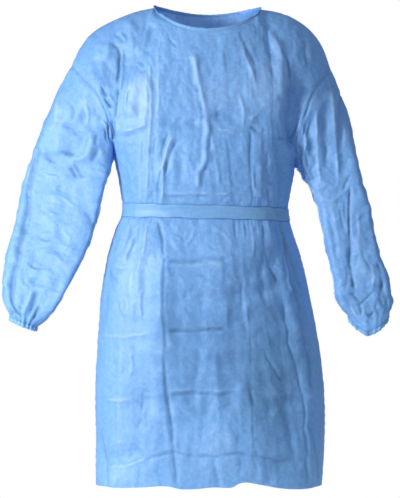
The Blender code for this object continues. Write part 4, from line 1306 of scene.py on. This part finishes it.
def belt_end_rings(name):
    """A hanging end of the belt, from the knot's underside."""
    end = BELT_ENDS[name]
    low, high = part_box("belt_knot")
    top, top_y = low[2] + 0.004, (low[1] + high[1]) / 2
    across, out = np.transpose(strip_section(0.5, END_THICK, 11))
    rings = []
    for share in np.linspace(0, 1, BELT_END_ROWS):
        wide = END_WIDTH * (0.55 + 0.45 * ease(share / 0.25))
        step = wide / 2 * (2 * across)
        x = end["x"] * (0.3 + 0.7 * share) + step
        z = top - end["length"] * share + 0.006 * step / END_WIDTH * share
        right, left = smooth(BODY, "z", "right", z), smooth(BODY, "z", "left", z)
        off = power((2 * x - left - right) / (left - right), 1 / SECTION_POWER)
        y = smooth(BODY, "z", "back", z) * np.sqrt(1 - off ** 2) ** SECTION_POWER
        y = y + END_GAP * (1 - 0.2 * share)
        y += (top_y - y.mean()) * (1 - share) ** 3 + 0.001 * np.cos(7 * share + 5 * step / END_WIDTH) * share
        ridge = sum(0.0005 * bell((step - at) / 0.0015) for at in END_FOLDS)
        ridge = ridge + 0.0008 * math.sin(17 * share + end["x"] * 90) * np.cos(step * 150)
        y = y + out + np.where(out > 0, ridge, 0.6 * ridge)
        rings.append(np.stack([x, y, z], -1))
    return np.array(rings)


# ---- the materials

def nonwoven(name, colour, pale, through):
    """Thin spunbonded cloth: a cloudy mat of fibres held by rows of small bonded spots. `through` is
    how much of the light it lets through."""
    made = bpy.data.materials.new(name)
    made.use_nodes = True
    nodes, links = made.node_tree.nodes, made.node_tree.links
    shader = nodes["Principled BSDF"]

    def fill(socket, value):
        """Sets a socket, or links it to another."""
        if hasattr(value, "is_linked"):
            links.new(value, socket)
        else:
            socket.default_value = value

    def node(kind, **values):
        new = nodes.new("ShaderNode" + kind)
        for key, value in values.items():
            if key in new.inputs:
                fill(new.inputs[key], value)
            else:
                setattr(new, key, value)
        return new

    def mix(factor, a, b):
        new = node("Mix", data_type="RGBA", Factor=factor)
        fill(new.inputs[6], a)
        fill(new.inputs[7], b)
        return new.outputs[2]

    def ramp(source, low, high, to_low=0.0, to_high=1.0):
        ends = {"From Min": low, "From Max": high, "To Min": to_low, "To Max": to_high}
        return node("MapRange", Value=source, **ends).outputs["Result"]

    def scaled(vector, *scale):
        return node("Mapping", Vector=vector, Scale=scale).outputs["Vector"]

    def noise(vector, scale, detail, roughness, **values):
        new = node("TexNoise", Vector=vector, Scale=scale, Detail=detail, Roughness=roughness, **values)
        return new.outputs["Fac"]

    def bump(height, strength, distance, **normal):
        return node("Bump", Height=height, Strength=strength, Distance=distance, **normal).outputs["Normal"]

    def multiply_add(*values):
        new = node("Math", operation="MULTIPLY_ADD")
        for socket, value in zip(new.inputs, values):
            fill(socket, value)
        return new.outputs["Value"]

    def share(*shares):
        """The colour, with these shares of its red, green and blue."""
        return (*[c * k for c, k in zip(colour, shares)], 1)

    flat = node("UVMap", uv_map="Cloth").outputs["UV"]
    solid = node("TexCoord").outputs["Object"]
    spots = node("TexVoronoi", voronoi_dimensions="2D", Vector=flat, Scale=430.0, Randomness=0.18)
    bonded = ramp(spots.outputs["Distance"], 0.20, 0.32, 1.0, 0.0)
    fibres = noise(scaled(flat, 1.0, 0.22, 1.0), 1400.0, 4.0, 0.65, noise_dimensions="2D")
    cloud = noise(solid, 120.0, 5.0, 0.66)
    drift = noise(solid, 11.0, 3.0, 0.5)
    hue = noise(solid, 160.0, 2.0, 0.5)
    # the painted light and shade that the mesh carries on its points
    fold = node("Attribute", attribute_name="fold", attribute_type="GEOMETRY").outputs["Fac"]
    streaks = noise(scaled(flat, 1.0, 0.10, 1.0), 62.0, 3.0, 0.55, noise_dimensions="2D")
    wrinkles = noise(
        scaled(solid, 1.0, 1.0, 0.55), 34.0, 4.0, 0.62, noise_type="RIDGED_MULTIFRACTAL", Distortion=0.25,
    )
    base = mix(ramp(cloud, 0.36, 0.66), colour, pale)
    for source, low, high, most, towards in (
        (hue, 0.40, 0.66, 0.45, share(*HUE)),
        (drift, 0.30, 0.72, 0.30, share(0.86, 0.86, 0.86)),
        (fibres, 0.45, 0.75, 0.22, pale),
        (bonded, 0.0, 1.0, 0.22, share(0.70, 0.70, 0.70)),
        # painted shade where that is below 0: in the creases' troughs, the darker patches and the back's
        # inside, and along seams
        (fold, 0.0, -1.8, 0.66, share(0.42, 0.48, 0.40)),
        # painted light where it is above 0, with worn whitening along the sharp ridges
        (fold, 0.0, 1.0, 0.30, WORN_AND_PAINTED_LIGHT),
        (streaks, 0.48, 0.68, 0.16, pale),
        (streaks, 0.50, 0.34, 0.12, share(0.80, 0.80, 0.80)),
        (wrinkles, 0.9, 1.7, 0.16, pale),
    ):
        base = mix(ramp(source, low, high, 0.0, most), base, towards)

    fine = bump(multiply_add(fibres, 0.30, ramp(bonded, 0.0, 1.0, 1.0, 0.0)), 0.30, 0.00012)
    coarse = bump(noise(solid, 150.0, 4.0, 0.68), 0.80, 0.0012, Normal=fine)
    creased = bump(multiply_add(streaks, 0.9, wrinkles), 0.70, 0.0011, Normal=coarse)
    for key, value in {
        "Base Color": base,
        "Roughness": ramp(cloud, 0.3, 0.7, 0.42, 0.58),
        "Specular IOR Level": 0.55,
        "Sheen Weight": 0.10,
        "Sheen Roughness": 0.45,
        "Sheen Tint": SHEEN,
        "Normal": creased,
    }.items():
        fill(shader.inputs[key], value)
    if through:
        passing = node("BsdfTranslucent", Color=base, Normal=creased)
        both = node("MixShader", Fac=through)
        fill(both.inputs[1], shader.outputs["BSDF"])
        fill(both.inputs[2], passing.outputs["BSDF"])
        fill(nodes["Material Output"].inputs["Surface"], both.outputs["Shader"])
    return made


# ---- the gown

def build():
    cloth, back_cloth, trim, strap, elastic = (nonwoven(*kind) for kind in CLOTHS)
    u = columns_of(-1, 1, FRONT_COLUMNS)
    front, painted_shading = shaped_panel(FRONT, u, SKIRT_ROWS, CHEST_ROWS, FRONT_CREASES, SEED["front"])
    made = [add_grid("cloth_front", front, cloth, painted_shading=painted_shading)]
    backs = {}
    for name, u0, u1 in (("right", -1, BACK_OVERLAP), ("left", -BACK_OVERLAP, 1)):
        u = columns_of(u0, u1, BACK_COLUMNS)
        back, painted_shading = shaped_panel(BACK, u, BACK_SKIRT_ROWS, BACK_CHEST_ROWS, BACK_CREASES, SEED["back"])
        backs[name] = laid_over(back, u) if name == "left" else back
        made.append(add_grid("cloth_back_" + name, backs[name], back_cloth, flip=True, painted_shading=painted_shading))
    for name, edge in (("right", 0), ("left", -1)):
        loop = armhole_loop(front[SKIRT_ROWS:, edge], backs[name][BACK_SKIRT_ROWS:, edge])
        sleeve, painted_shading = sleeve_points(name, loop)
        ring = {"ring": True, "flip": name == "left"}
        made.append(add_grid("cloth_sleeve_" + name, sleeve, cloth, painted_shading=painted_shading, **ring))
        made.append(add_grid("elastic_cuff_" + name, cuff_points(name, sleeve), elastic, **ring))
    made.append(add_tube("neck_trim", binding_rings(), trim))
    made.append(add_tube("belt_strap", belt_rings(), strap, closed=True))
    made.append(add_tube("knot", knot_rings(), strap))
    made += [add_tube("strap_end_" + name, belt_end_rings(name), strap) for name in BELT_ENDS]
    for piece in made:
        node, slot, flat, held, rests_on, area = PIECES[piece.name]
        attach(piece, "root")
        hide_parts(node)


# ---- the studio

def light(name, place, aim, size, power_w, colour):
    lamp = bpy.data.lights.new(name, "AREA")
    lamp.shape, lamp.size, lamp.energy, lamp.color = "DISK", size, power_w, colour
    made = put(name, lamp)
    made.location = place
    made.rotation_euler = Vector(np.array(aim) - np.array(place)).to_track_quat("-Z", "Y").to_euler()


def studio():
    scene = bpy.context.scene
    scene.view_settings.view_transform = "Standard"
    world = scene.world = bpy.data.worlds.new("Studio")
    world.use_nodes = True
    nodes, links = world.node_tree.nodes, world.node_tree.links
    nodes.clear()
    either, out = nodes.new("ShaderNodeMixShader"), nodes.new("ShaderNodeOutputWorld")
    links.new(nodes.new("ShaderNodeLightPath").outputs["Is Camera Ray"], either.inputs["Fac"])
    links.new(either.outputs["Shader"], out.inputs["Surface"])
    # The light all round, and what the camera sees behind the gown.
    for slot, colour, strength in ((1, (0.92, 0.96, 1.0, 1), AMBIENT), (2, (1, 1, 1, 1), 1.0)):
        background = nodes.new("ShaderNodeBackground")
        background.inputs["Color"].default_value = colour
        background.inputs["Strength"].default_value = strength
        links.new(background.outputs["Background"], either.inputs[slot])

    for lamp in LAMPS:
        light(*lamp)

    camera = bpy.data.cameras.new("Camera")
    camera.sensor_fit, camera.sensor_height, camera.sensor_width = "VERTICAL", SENSOR, SENSOR
    camera.lens = CAMERA_LENS
    made = scene.camera = put("Camera", camera)
    made.location = CAMERA_PLACE
    made.rotation_euler = (math.pi / 2, 0, 0)

    pale = bpy.data.materials.new("PaleFloor")
    pale.use_nodes = True
    shader = pale.node_tree.nodes["Principled BSDF"]
    shader.inputs["Base Color"].default_value = (0.86, 0.86, 0.87, 1)
    shader.inputs["Roughness"].default_value = 0.7
    angle = np.linspace(0, 2 * math.pi, FLOOR_SIDES, endpoint=False)
    x, y = FLOOR_RADIUS * np.cos(angle), FLOOR_RADIUS * np.sin(angle)
    mesh = bpy.data.meshes.new("floor")
    mesh.from_pydata([(a, b, FLOOR_Z) for a, b in zip(x, y)], [], [tuple(range(FLOOR_SIDES))])
    mesh.materials.append(pale)
    put("floor", mesh)


for startup in ("Cube", "Light", "Camera"):
    if startup in bpy.data.objects:
        bpy.data.objects.remove(bpy.data.objects[startup])
build()
studio()
